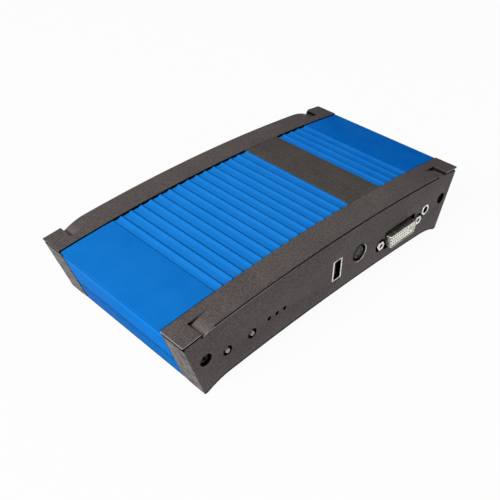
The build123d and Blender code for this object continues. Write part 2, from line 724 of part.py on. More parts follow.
def bridge_pegs():
    middle = (BRIDGE_LOW_X + BRIDGE_HIGH_X) / 2
    offsets = (-BRIDGE_PEG_X, BRIDGE_PEG_X)
    return [(middle + x, y) for x in offsets for y in (-BRIDGE_PEG_Y, BRIDGE_PEG_Y)]


def label_bridge():
    """The dark crossbar, held by four pegs."""
    bridge = bridge_block(0.0)
    for x, y in bridge_pegs():
        bridge += rod_z(x, y, BRIDGE_PEG_RADIUS, BRIDGE_PEG_BOTTOM, CROWN_HEIGHT - 1.5)
    return bridge


def cross_recess(depth):
    """A cross-shaped driver recess that opens towards +Z at the origin."""
    reach = RECESS_REACH
    half = RECESS_HALF_WIDTH
    return box(-reach, reach, -half, half, -depth, 1) + box(-half, half, -reach, reach, -depth, 1)


def machine_screw(length):
    """A domed cross-head screw, head up, with the head's underside at the origin."""
    head = Cylinder(SCREW_HEAD_RADIUS, SCREW_HEAD_HEIGHT, align=(Align.CENTER, Align.CENTER, Align.MIN))
    head = fillet(head.edges().filter_by(GeomType.CIRCLE).sort_by(Axis.Z)[-1], SCREW_HEAD_ROUNDING)
    radius = SCREW_SHANK_RADIUS - SCREW_RUNNING_GAP
    shank = Cylinder(radius, length, align=(Align.CENTER, Align.CENTER, Align.MAX))
    return head + shank - Pos(0, 0, SCREW_HEAD_HEIGHT) * cross_recess(RECESS_DEPTH)


def panel_screws():
    """Four screws that pull the side panels onto the tray's posts."""
    screws = []
    seat = HALF_DEPTH - PANEL_HOLE_DEPTH
    for y_side in (-1, 1):
        for x_side in (-1, 1):
            turned = Rot(y_side * -90, 0, 0) * machine_screw(seat - SCREW_TIP_Y)
            screws.append(Pos(PANEL_SCREW_X[x_side], y_side * seat, PANEL_SCREW_Z) * turned)
    return screws


def screw_inserts():
    """Brass inserts in the tray's posts."""
    inserts = []
    half = RAIL_INNER - FIT_GAP
    for y_side in (-1, 1):
        reach = sorted((y_side * (half - INSERT_LENGTH), y_side * half))
        for x_side in (-1, 1):
            x = PANEL_SCREW_X[x_side]
            sleeve = rod_y(x, PANEL_SCREW_Z, INSERT_RADIUS - 0.02, reach[0], reach[1])
            inserts.append(sleeve - rod_y(x, PANEL_SCREW_Z, SCREW_SHANK_RADIUS, -FAR, FAR))
    return inserts


def case_screws():
    """Four screws from below, through tray and board, into the cover."""
    head_seat = TRAY_BOTTOM + SCREW_HEAD_HEIGHT + CASE_SCREW_SINK
    screw = Rot(180, 0, 0) * machine_screw(BOARD_TOP + CASE_SCREW_TIP - head_seat)
    return [
        Pos(x_side * STANDOFF_X, y_side * STANDOFF_Y, head_seat) * screw
        for x_side in (-1, 1)
        for y_side in (-1, 1)
    ]


def board_screws():
    """Two short screws that hold the board's middle."""
    below = (Align.CENTER, Align.CENTER, Align.MAX)
    above = (Align.CENTER, Align.CENTER, Align.MIN)
    screw = Cylinder(BOARD_SCREW_HEAD_RADIUS, BOARD_SCREW_HEAD_HEIGHT, align=above)
    screw += Cylinder(BOARD_SCREW_SHANK_RADIUS, BOARD_SCREW_LENGTH, align=below)
    screw -= Pos(0, 0, BOARD_SCREW_HEAD_HEIGHT) * cross_recess(BOARD_SCREW_RECESS_DEPTH)
    return [Pos(MIDDLE_SCREW_X, y_side * STANDOFF_Y, BOARD_TOP) * screw for y_side in (-1, 1)]


def main_board():
    """The circuit board, with its screw holes and room for the tray's posts."""
    middle = RAIL_INNER - 0.4
    board = box(-BOARD_HALF_LENGTH, BOARD_HALF_LENGTH, -middle, middle, BOARD_BOTTOM, BOARD_TOP)
    board += box(-BOARD_WING_X, BOARD_WING_X, -BOARD_HALF_DEPTH, BOARD_HALF_DEPTH, BOARD_BOTTOM, BOARD_TOP)
    board = fillet(board.edges().filter_by(Axis.Z), 1.0)
    for x_side in (-1, 1):
        for y_side in (-1, 1):
            board -= rod_z(x_side * STANDOFF_X, y_side * STANDOFF_Y, SCREW_SHANK_RADIUS + FIT_GAP, 0, 30)
    for y_side in (-1, 1):
        board -= rod_z(MIDDLE_SCREW_X, y_side * STANDOFF_Y, 1.3, 0, 30)
    return board


def chip(x, y, width, depth, height, lift=0.0):
    """A flat package that stands on the board."""
    low = BOARD_TOP + lift
    return box(x - width / 2, x + width / 2, y - depth / 2, y + depth / 2, low, low + height)


def processor_chip():
    return chip(30, 4, 27, 27, 2.2)


def thermal_pad():
    return chip(30, 4, 24, 24, 0.8, lift=2.2)


def heat_sink():
    """A finned block on the processor."""
    base_lift = 3.0
    sink = chip(30, 4, 38, 38, 2.5, lift=base_lift)
    for index in range(9):
        y = 4 + (index - 4) * 4.5
        sink += chip(30, y, 38, 1.4, 11.0, lift=base_lift + 1.0)
    return sink


def memory_chips():
    places = ((2.5, -9), (2.5, 7), (58, -6), (58, 12))
    return [chip(x, y, 9, 13, 1.2) for x, y in places]


def video_input_chip():
    return chip(44, -21.5, 14, 14, 1.4)


def flash_chip():
    return chip(60, 30, 12, 18, 1.2)


def audio_chip():
    return chip(66, -18, 7, 7, 1.0)


def network_chip():
    return chip(-22, 6, 9, 9, 1.0)


def network_transformer():
    block = chip(-22, 21.5, 16, 12, 6.0)
    return fillet(block.edges().filter_by(Axis.Z), 0.6)


def crystals():
    """Oval metal cans of the clock crystals."""
    cans = []
    for x, y in ((4, 18.5), (-9, 14), (57, -25.5)):
        can = Pos(x, y, BOARD_TOP) * extrude(SlotOverall(11, 4.6), amount=3.5)
        cans.append(can)
    return cans


def capacitors():
    """Round electrolytic capacitors with a narrow waist above the base."""
    cans = []
    for x, y, radius, height in (
        (-60, 22, 4.0, 10.0), (-62, 12, 4.0, 10.0), (-50, 11, 3.15, 7.7),
        (-44, 32, 3.15, 7.7), (-12, -28, 3.15, 7.7), (-20, -28, 3.15, 7.7),
    ):
        can = rod_z(x, y, radius, BOARD_TOP, BOARD_TOP + height)
        waist = Pos(x, y, BOARD_TOP + 2.0) * Torus(radius + 0.2, 0.6)
        cans.append(can - waist)
    return cans


def power_inductors():
    """Square shielded coils with a round top."""
    coils = []
    for x, y in ((-67, -4), (-52, -1), (-36, -4)):
        coils.append(chip(x, y, 10, 10, 3.0) + rod_z(x, y, 4.4, BOARD_TOP + 2.5, BOARD_TOP + 4.5))
    return coils


def coin_cell_holder():
    """A round cup, open on top and cut away at one side."""
    cup = rod_z(CELL_X, CELL_Y, 11.4, BOARD_TOP, BOARD_TOP + 4.2)
    cup -= rod_z(CELL_X, CELL_Y, 10.1, BOARD_TOP + 1.0, BOARD_TOP + 6)
    return cup - box(CELL_X - 14, CELL_X - 6, CELL_Y - 5, CELL_Y + 5, BOARD_TOP + 1.0, BOARD_TOP + 6)


def coin_cell():
    cell = rod_z(CELL_X, CELL_Y, 10.0, BOARD_TOP + 1.0, BOARD_TOP + 4.2)
    return fillet(cell.edges().filter_by(GeomType.CIRCLE), 0.4)


def dvi_outline(width_top, width_bottom, height, radius):
    """The DVI shell's outline, narrower at the bottom, with rounded corners."""
    corners = [
        (-width_top / 2, height / 2),
        (width_top / 2, height / 2),
        (width_top / 2, DVI_SHOULDER_Z),
        (width_bottom / 2, -height / 2),
        (-width_bottom / 2, -height / 2),
        (-width_top / 2, DVI_SHOULDER_Z),
    ]
    face = make_face(Polyline(*corners, close=True))
    return fillet(face.vertices(), radius)


def dvi_prism(shrink, y_low, y_high):
    """A bar of the DVI shell's outline, drawn in evenly."""
    top_width = DVI_TOP_WIDTH - 2 * shrink
    bottom_width = DVI_BOTTOM_WIDTH - 2 * shrink
    sketch = dvi_outline(top_width, bottom_width, DVI_HEIGHT - 2 * shrink, DVI_CORNER - shrink)
    placed = Plane.XZ * Pos(DVI_X, DVI_Z) * sketch
    return extrude(Pos(0, y_low, 0) * placed, amount=y_high - y_low, dir=(0, 1, 0))


def dvi_shell():
    """The plated tube that stands out of the panel."""
    back = DVI_HOUSING_FRONT + DVI_SHELL_ROOT
    return dvi_prism(0, DVI_FRONT, back) - dvi_prism(DVI_SHELL_WALL, DVI_FRONT - 1, back + 1)


def dvi_contact_block():
    """The ivory block: three rows of eight square ways, and a crossed blade with four more."""
    front = DVI_FRONT + DVI_BLOCK_SINK
    deep = front + DVI_WAY_DEPTH
    block = dvi_prism(DVI_SHELL_WALL + 0.05, front, DVI_HOUSING_FRONT + DVI_SHELL_ROOT)
    first = DVI_X + DVI_FIRST_WAY
    blade = DVI_X + DVI_BLADE_X
    pitch = DVI_PIN_PITCH
    places = [(first + column * pitch, row * pitch) for column in range(8) for row in (-1, 0, 1)]
    across, up = DVI_BLADE_WAYS
    places += [(blade + x_side * across, z_side * up) for x_side in (-1, 1) for z_side in (-1, 1)]
    ways = Part()
    half = DVI_WAY_HALF
    for x, rise in places:
        z = DVI_Z + rise
        ways += box(x - half, x + half, front - 1, deep, z - half, z + half)
    low = DVI_Z - DVI_BLADE_HALF_HEIGHT
    high = DVI_Z + DVI_BLADE_HALF_HEIGHT
    ways += box(blade - DVI_BLADE_HALF_WIDTH, blade + DVI_BLADE_HALF_WIDTH, front - 1, deep, low, high)
    return block - ways


def dvi_housing():
    """The dark body behind the panel, which carries shell, block and jackscrews."""
    front = DVI_HOUSING_FRONT
    plate_half = 19.0
    body_half = 14.2
    body = box(DVI_X - plate_half, DVI_X + plate_half, front, front + 2.2, BOARD_TOP, DVI_Z + 6.9)
    body += box(DVI_X - body_half, DVI_X + body_half, front + 2.0, DVI_HOUSING_BACK, BOARD_TOP, DVI_Z + 6.3)
    body -= dvi_prism(-0.05, front - 1, front + DVI_SHELL_ROOT)
    for side in (-1, 1):
        x = DVI_X + side * JACKSCREW_SPACING / 2
        body -= rod_y(x, DVI_Z, JACKSCREW_STEM_RADIUS + FIT_GAP, front - 1, front + 5)
    return body


def dvi_leads():
    """Flat solder leads on the board behind the housing."""
    leads = []
    back = DVI_HOUSING_BACK
    for index in range(DVI_LEAD_COUNT):
        x = DVI_X + (index - (DVI_LEAD_COUNT - 1) / 2) * DVI_LEAD_PITCH
        leads.append(box(x - 0.25, x + 0.25, back, back + 2.4, BOARD_TOP, BOARD_TOP + 0.3))
    return leads


def dvi_jackscrews():
    """Two hex posts with a bore for the plug's thumbscrews."""
    posts = []
    front = -HALF_DEPTH - JACKSCREW_REACH
    for side in (-1, 1):
        x = DVI_X + side * JACKSCREW_SPACING / 2
        sketch = Plane.XZ * Pos(x, DVI_Z) * RegularPolygon(JACKSCREW_FLATS / 2, 6, major_radius=False)
        head = extrude(Pos(0, front, 0) * sketch, amount=DVI_HOUSING_FRONT - front, dir=(0, 1, 0))
        stem = rod_y(x, DVI_Z, JACKSCREW_STEM_RADIUS, DVI_HOUSING_FRONT - 0.5, DVI_HOUSING_FRONT + 4.5)
        post = head + stem
        posts.append(post - rod_y(x, DVI_Z, JACKSCREW_BORE, front - 1, DVI_HOUSING_FRONT))
    return posts


def usb_shell():
    """The plated USB shell: a tube with a flared mouth, closed at the back."""
    front = -HALF_DEPTH + 0.1
    back = front + USB_DEPTH
    tube = rounded_block_y(USB_X, USB_Z, USB_WIDTH, USB_HEIGHT, 0.5, front, back)
    mouth_width = USB_WIDTH + USB_FLARE_WIDTH
    mouth_height = USB_HEIGHT + USB_FLARE_HEIGHT
    tube += rounded_block_y(USB_X, USB_Z, mouth_width, mouth_height, 0.5, front, front + USB_FLARE_DEPTH)
    room_width = USB_WIDTH - 2 * USB_WALL
    room_height = USB_HEIGHT - 2 * USB_WALL
    return tube - rounded_block_y(USB_X, USB_Z, room_width, room_height, 0.3, front - 1, back - USB_WALL)


def usb_tongue():
    """The plastic tongue, beside one wall of the shell, on a block at the back."""
    front = -HALF_DEPTH + 1.2
    back = -HALF_DEPTH + USB_DEPTH - 0.3
    x_low = USB_X - USB_TONGUE_X
    high = USB_TONGUE_HALF_HEIGHT
    tongue = box(x_low, x_low + USB_TONGUE_THICKNESS, front, back, USB_Z - high, USB_Z + high)
    wide = USB_ROOT_HALF_WIDTH
    high = USB_ROOT_HALF_HEIGHT
    root = box(USB_X - wide, USB_X + wide, back - USB_ROOT_DEPTH, back, USB_Z - high, USB_Z + high)
    return tongue + root


def usb_contacts():
    """Four flat contacts on the tongue's open side."""
    front = -HALF_DEPTH + 1.8
    back = -HALF_DEPTH + USB_DEPTH - 3.6
    x = USB_X - USB_TONGUE_X + USB_TONGUE_THICKNESS
    return [box(x, x + 0.25, front, back, USB_Z + z - 0.5, USB_Z + z + 0.5) for z in USB_CONTACT_Z]


def mini_din_ring():
    """The plated ring round the mini-DIN core."""
    front = -HALF_DEPTH - DIN_RING_REACH
    ring = rod_y(DIN_X, DIN_Z, DIN_RADIUS, front, front + DIN_DEPTH)
    return ring - rod_y(DIN_X, DIN_Z, DIN_RADIUS - DIN_RING_WALL, front - 1, front + DIN_DEPTH + 1)


def mini_din_core():
    """The dark core: a slot all round for the plug's skirt, four pin ways and a key way."""
    front = -HALF_DEPTH + DIN_CORE_SINK
    back = -HALF_DEPTH - DIN_RING_REACH + DIN_DEPTH
    radius = DIN_RADIUS - DIN_RING_WALL - SCREW_RUNNING_GAP
    core = rod_y(DIN_X, DIN_Z, radius, front, back)
    skirt = rod_y(DIN_X, DIN_Z, radius + 1, front - 1, front + DIN_SLOT_DEPTH)
    core -= skirt - rod_y(DIN_X, DIN_Z, DIN_POST_RADIUS, front - 2, front + DIN_SLOT_DEPTH + 1)
    deep = front + DIN_WAY_DEPTH
    for x, z in DIN_WAYS:
        core -= rod_y(DIN_X + x, DIN_Z + z, DIN_WAY_RADIUS, front - 1, deep)
    return core - box(DIN_X - 1.0, DIN_X + 1.0, front - 1, deep, DIN_Z - 2.9, DIN_Z - 1.9)


def mini_din_housing():
    """The square body behind the ring."""
    back = -HALF_DEPTH - DIN_RING_REACH + DIN_DEPTH
    half = DIN_BODY_HALF
    body = box(DIN_X - half, DIN_X + half, SOCKET_BODY_FRONT, -36.5, BOARD_TOP, DIN_Z + 6.5)
    return body - rod_y(DIN_X, DIN_Z, DIN_RADIUS + COLLAR_FIT, -60, back)


def audio_sleeve():
    """The plated sleeve of the audio jack, with a ring that shows on the panel."""
    front = -HALF_DEPTH - AUDIO_REACH
    sleeve = rod_y(AUDIO_X, AUDIO_Z, AUDIO_RING_RADIUS, front, front + AUDIO_RING_DEPTH)
    sleeve += rod_y(AUDIO_X, AUDIO_Z, AUDIO_TUBE_RADIUS, front, front + AUDIO_SLEEVE_LENGTH)
    return sleeve - rod_y(AUDIO_X, AUDIO_Z, AUDIO_BORE, front - 1, front + AUDIO_SLEEVE_LENGTH + 1)


def audio_housing():
    """The body of the audio jack, bored for the sleeve and for the plug's tip."""
    front = SOCKET_BODY_FRONT
    back = front + AUDIO_BODY_DEPTH
    half = AUDIO_BODY_HALF_WIDTH
    body = box(AUDIO_X - half, AUDIO_X + half, front, back, BOARD_TOP, AUDIO_Z + AUDIO_BODY_RISE)
    sleeve_end = -HALF_DEPTH - AUDIO_REACH + AUDIO_SLEEVE_LENGTH
    body -= rod_y(AUDIO_X, AUDIO_Z, AUDIO_TUBE_RADIUS + COLLAR_FIT, front - 5, sleeve_end)
    return body - rod_y(AUDIO_X, AUDIO_Z, AUDIO_TIP_ROOM, sleeve_end, back + 0.5)


def audio_springs():
    """Three contact blades along the jack's top."""
    top = AUDIO_Z + AUDIO_BODY_RISE
    places = (AUDIO_X - 2.6, AUDIO_X, AUDIO_X + 2.6)
    return [box(x - 0.5, x + 0.5, -46.5, -36.0, top, top + 0.3) for x in places]


def button_collars():
    """Dark rings that line the two button holes and guide the buttons."""
    collars = []
    for x in BUTTON_X:
        front = -HALF_DEPTH + COLLAR_SINK
        back = -HALF_DEPTH + COLLAR_BACK
        behind = -HALF_DEPTH + PANEL_WALL + HEAD_GAP
        collar = rod_y(x, BUTTON_Z, BUTTON_HOLE_RADIUS - COLLAR_FIT, front, back)
        collar += rod_y(x, BUTTON_Z, BUTTON_HOLE_RADIUS + COLLAR_FLANGE, behind, back)
        collars.append(collar - rod_y(x, BUTTON_Z, BUTTON_RADIUS + BUTTON_GAP, -FAR, 0))
    return collars


def push_button(x):
    """A round button with a flange behind its collar, which stops it at rest."""
    front = -HALF_DEPTH - BUTTON_REACH
    back = BUTTON_FLANGE_FRONT + BUTTON_FLANGE_THICKNESS
    stem = rod_y(x, BUTTON_Z, BUTTON_RADIUS, front, back)
    rim = stem.edges().filter_by(GeomType.CIRCLE).sort_by(Axis.Y)[0]
    return fillet(rim, BUTTON_EDGE) + rod_y(x, BUTTON_Z, BUTTON_FLANGE_RADIUS, BUTTON_FLANGE_FRONT, back)


def switch_plunger(x):
    """The moving stem of the board switch behind one button."""
    button_back = BUTTON_FLANGE_FRONT + BUTTON_FLANGE_THICKNESS
    body_front = -HALF_DEPTH + SWITCH_FRONT
    return rod_y(x, BUTTON_Z, PLUNGER_RADIUS, button_back, body_front + PLUNGER_REACH)


def board_switches():
    """Two switches that stand on the board, each with a room for its plunger."""
    switches = []
    for x in BUTTON_X:
        front = -HALF_DEPTH + SWITCH_FRONT
        back = front + SWITCH_DEPTH
        half = SWITCH_HALF_WIDTH
        body = box(x - half, x + half, front, back, BOARD_TOP, BOARD_TOP + SWITCH_HEIGHT)
        room = rod_y(x, BUTTON_Z, PLUNGER_ROOM_RADIUS, front - 1, front + PLUNGER_ROOM_DEPTH)
        switches.append(body - room)
    return switches


def light_pipes():
    """Clear rods that bring the lamps' light to the panel's face."""
    pipes = []
    for x in LAMP_X:
        front = -HALF_DEPTH + LAMP_SINK
        back = -HALF_DEPTH + LAMP_PIPE_BACK
        pipes.append(rod_y(x, LAMP_Z, LAMP_RADIUS - 0.05, front, back))
    return pipes


def status_leds():
    """Three LEDs on small blocks, right behind the light pipes."""
    lamps = []
    for x in LAMP_X:
        front = -HALF_DEPTH + LAMP_PIPE_BACK + FIT_GAP
        half = LED_HALF_WIDTH
        block = box(x - half, x + half, front + 0.8, front + 3.2, BOARD_TOP, LAMP_Z + half)
        lamps.append(block + rod_y(x, LAMP_Z, LED_RADIUS, front, front + 1.0))
    return lamps


def network_jack_shield():
    """The folded metal shield round the network jack, open to the back and below."""
    front = HALF_DEPTH + NETWORK_REACH
    deep = front - NETWORK_DEPTH
    half = NETWORK_WIDTH / 2
    top = BOARD_TOP + NETWORK_HEIGHT
    shield = box(NETWORK_X - half, NETWORK_X + half, deep, front, BOARD_TOP, top)
    half -= NETWORK_SHEET
    top -= NETWORK_SHEET
    deep += NETWORK_SHEET
    return shield - box(NETWORK_X - half, NETWORK_X + half, deep, front + 1, BOARD_TOP - 1, top)


def network_jack_housing():
    """The dark body with the plug's cavity and the latch's slot above it."""
    front = HALF_DEPTH
    low = BOARD_TOP
    half = NETWORK_HOUSING_HALF
    body = box(NETWORK_X - half, NETWORK_X + half, front - 20.0, front, low, low + NETWORK_HOUSING_HEIGHT)
    back = front - NETWORK_CAVITY_DEPTH
    half = NETWORK_CAVITY_HALF
    floor = low + NETWORK_CAVITY_FLOOR
    roof = low + NETWORK_CAVITY_ROOF
    body -= box(NETWORK_X - half, NETWORK_X + half, back, front + 1, floor, roof)
    half = NETWORK_LATCH_HALF
    slot_top = low + NETWORK_LATCH_ROOF
    return body - box(NETWORK_X - half, NETWORK_X + half, back, front + 1, roof - 0.4, slot_top)


def network_jack_contacts():
    """Eight sprung wires on the floor of the network jack's cavity."""
    front = HALF_DEPTH
    wires = []
    for index in range(8):
        x = NETWORK_X + (index - 3.5) * 1.02
        low = BOARD_TOP + NETWORK_CAVITY_FLOOR
        wires.append(box(x - 0.17, x + 0.17, front - NETWORK_CAVITY_DEPTH, front - 4.5, low, low + 0.45))
    return wires


def power_jack_housing():
    """The power jack: a square body with a round nose through the panel."""
    front = HALF_DEPTH - 0.2
    half = POWER_BODY_HALF_WIDTH
    body = box(POWER_X - half, POWER_X + half, front - 14.0, 47.6, BOARD_TOP, POWER_Z + POWER_BODY_RISE)
    body += rod_y(POWER_X, POWER_Z, POWER_NOSE_RADIUS, 45.0, front)
    return body - rod_y(POWER_X, POWER_Z, POWER_BORE_RADIUS, front - 10.0, front + 1)


def power_jack_pin():
    front = HALF_DEPTH - 1.4
    pin = rod_y(POWER_X, POWER_Z, POWER_PIN_RADIUS, front - 8.8, front)
    return fillet(pin.edges().sort_by(Axis.Y)[-1], POWER_PIN_TIP)


def power_jack_spring():
    """The sleeve contact that lies along the bore's roof."""
    front = HALF_DEPTH - 3.0
    return box(POWER_X - 0.9, POWER_X + 0.9, front - 7.0, front, POWER_Z + 2.35, POWER_Z + 2.75)


def nodes():
    """Every node by name, each a solid or a group of separate solids."""
    power_x, record_x = BUTTON_X
    return {
        "bottom_tray": bottom_tray(),
        "top_cover": top_cover(),
        "label_bridge": label_bridge(),
        "front_panel": front_panel(),
        "rear_panel": rear_panel(),
        "panel_screws": panel_screws(),
        "screw_inserts": screw_inserts(),
        "case_screws": case_screws(),
        "board_screws": board_screws(),
        "main_board": main_board(),
        "processor_chip": processor_chip(),
        "thermal_pad": thermal_pad(),
        "heat_sink": heat_sink(),
        "memory_chips": memory_chips(),
        "video_input_chip": video_input_chip(),
        "flash_chip": flash_chip(),
        "audio_chip": audio_chip(),
        "network_chip": network_chip(),
        "network_transformer": network_transformer(),
        "clock_crystals": crystals(),
        "capacitors": capacitors(),
        "power_inductors": power_inductors(),
        "coin_cell_holder": coin_cell_holder(),
        "coin_cell": coin_cell(),
        "dvi_shell": dvi_shell(),
        "dvi_contact_block": dvi_contact_block(),
        "dvi_housing": dvi_housing(),
        "dvi_leads": dvi_leads(),
        "dvi_jackscrews": dvi_jackscrews(),
        "usb_shell": usb_shell(),
        "usb_tongue": usb_tongue(),
        "usb_contacts": usb_contacts(),
        "mini_din_ring": mini_din_ring(),
        "mini_din_core": mini_din_core(),
        "mini_din_housing": mini_din_housing(),
        "audio_jack_sleeve": audio_sleeve(),
        "audio_jack_housing": audio_housing(),
        "audio_jack_springs": audio_springs(),
        "button_collars": button_collars(),
        "power_button": push_button(power_x),
        "record_button": push_button(record_x),
        "power_plunger": switch_plunger(power_x),
        "record_plunger": switch_plunger(record_x),
        "board_switches": board_switches(),
        "light_pipes": light_pipes(),
        "status_leds": status_leds(),
        "network_jack_shield": network_jack_shield(),
        "network_jack_housing": network_jack_housing(),
        "network_jack_contacts": network_jack_contacts(),
        "power_jack_housing": power_jack_housing(),
        "power_jack_pin": power_jack_pin(),
        "power_jack_spring": power_jack_spring(),
    }


def write_parts():
    """Write one STEP file for each node, with the footprint centred on the origin."""
    os.makedirs("parts", exist_ok=True)
    for name, shape in nodes().items():
        solids = shape if isinstance(shape, list) else [shape]
        separate = [solid for item in solids for solid in item.solids()]
        whole = Compound(children=separate) if len(separate) > 1 else separate[0]
        export_step(Pos(0, FRAME_SHIFT, 0) * whole, f"parts/{name}.step")


write_parts()
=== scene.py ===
import functools
import logging
import math
from dataclasses import dataclass, field
from enum import Enum

import bmesh
import bpy
from mathutils import Matrix, Vector


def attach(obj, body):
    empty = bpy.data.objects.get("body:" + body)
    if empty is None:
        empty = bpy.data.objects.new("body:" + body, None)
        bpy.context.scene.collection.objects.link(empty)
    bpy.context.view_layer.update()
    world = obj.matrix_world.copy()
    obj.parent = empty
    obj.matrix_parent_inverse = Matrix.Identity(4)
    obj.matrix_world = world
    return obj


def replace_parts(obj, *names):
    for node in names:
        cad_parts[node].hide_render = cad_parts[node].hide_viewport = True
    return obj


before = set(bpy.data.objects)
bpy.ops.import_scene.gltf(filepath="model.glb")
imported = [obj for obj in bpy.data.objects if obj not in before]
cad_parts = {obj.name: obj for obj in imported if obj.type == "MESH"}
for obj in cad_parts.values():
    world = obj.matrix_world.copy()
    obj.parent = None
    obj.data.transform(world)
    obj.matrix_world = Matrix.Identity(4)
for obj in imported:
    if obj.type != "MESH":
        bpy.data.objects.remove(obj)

LOG = logging.getLogger("video_encoder")
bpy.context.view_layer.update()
MM = 0.001

# Places shared with the solids, in millimetres
MIDDLE_Y = 1.35  # the case's middle plane
HALF_DEPTH = 50.7  # from there to each panel's outer face
RAIL_DEPTH = 13.85  # from the outer face to the rail's inner wall
END_FOOT_X = 88.75  # where the sloping ends meet the ground
END_SLOPE = (99.9 - 88.75) / 36.2
CROWN_HEIGHT = 41.8  # a panel's upper edge at mid length
CROWN_DROP = 0.5 / ((100.0 ** 2 + 5.6 ** 2) / (2 * 5.6))
RAMP_START_X = 76.0  # where a rail's top turns down into a notch
RAMP_START_Z = 38.576
RAMP_SLOPE = 0.085
RAMP_DROP = 0.0184
RAMP_FOOT_X = 88.3
ARCH_HEIGHT = 6.2  # a panel's lower edge at mid length
ARCH_DROP = 0.000441
ARCH_SHOULDER_X = 73.0  # where the arch turns down to a foot
SHOULDER_DROP = 0.0146
PIT_FADE = 0.15  # how far a deep part takes to darken

# Angles between faces, in radians
FLAT_TO = math.radians(0.4)
SHARP_FROM = math.radians(30.0)

BLACK = (0.0, 0.0, 0.0, 1.0)
WHITE = (1.0, 1.0, 1.0, 1.0)

Point = tuple[float, float]
Profile = tuple[Point, ...]
Colour = tuple[float, float, float, float]
Fade = tuple[float, ...]  # a range, and what its start and end give unless that is 0 and 1
Strip = tuple[float, ...]  # a range, and how far outside it the mark fades unless that is 0.1
Operand = "Signal | float"
Shape = bmesh.types.BMesh
Piece = bpy.types.Object
Material = bpy.types.Material


# Shader maths


@dataclass(frozen=True)
class Signal:
    """An output socket of a material's nodes that Python arithmetic works on."""

    paint: "Paint"
    socket: bpy.types.NodeSocket

    def _math(self, operation: str, first: Operand, second: Operand = 0.0) -> "Signal":
        """Add one Math node and give its result."""
        return self.paint.node("ShaderNodeMath", {"operation": operation}, {0: first, 1: second})

    def __add__(self, other: Operand) -> "Signal":
        """Sum."""
        return self._math("ADD", self, other)

    def __sub__(self, other: Operand) -> "Signal":
        """Difference."""
        return self._math("SUBTRACT", self, other)

    def __rsub__(self, other: float) -> "Signal":
        """Difference, the number first."""
        return self._math("SUBTRACT", other, self)

    def __mul__(self, other: Operand) -> "Signal":
        """Product."""
        return self._math("MULTIPLY", self, other)

    __radd__ = __add__
    __rmul__ = __mul__

    def absolute(self) -> "Signal":
        """The value without its sign."""
        return self._math("ABSOLUTE", self)

    def highest(self, other: Operand) -> "Signal":
        """The higher of two values."""
        return self._math("MAXIMUM", self, other)

    def lowest(self, other: Operand) -> "Signal":
        """The lower of two values."""
        return self._math("MINIMUM", self, other)

    def fraction(self) -> "Signal":
        """What is left of the value over its whole number."""
        return self._math("FRACT", self)

    def clamped(self) -> "Signal":
        """Keep the value between 0 and 1."""
        return self.paint.node("ShaderNodeClamp", {}, {"Value": self})

    def ramp(self, low: float, high: float, to_low: float = 0.0, to_high: float = 1.0) -> "Signal":
        """Go smoothly from to_low to to_high while the value goes from low to high."""
        values = {"Value": self, "From Min": low, "From Max": high, "To Min": to_low, "To Max": to_high}
        return self.paint.node("ShaderNodeMapRange", {"interpolation_type": "SMOOTHSTEP"}, values)

    def band(self, low: float, high: float, soft: float = 0.1) -> "Signal":
        """Give 1 where the value lies from low to high, fading to 0 over soft on either side."""
        return self.ramp(low - soft, low) * self.ramp(high, high + soft, 1.0, 0.0)

    def blend(self, first: "Signal | Colour", second: "Signal | Colour") -> "Signal":
        """Give the first colour where the value is 0, and the second where it is 1."""
        return self.paint.node("ShaderNodeMix", {"data_type": "RGBA"}, {0: self, 6: first, 7: second}, 2)


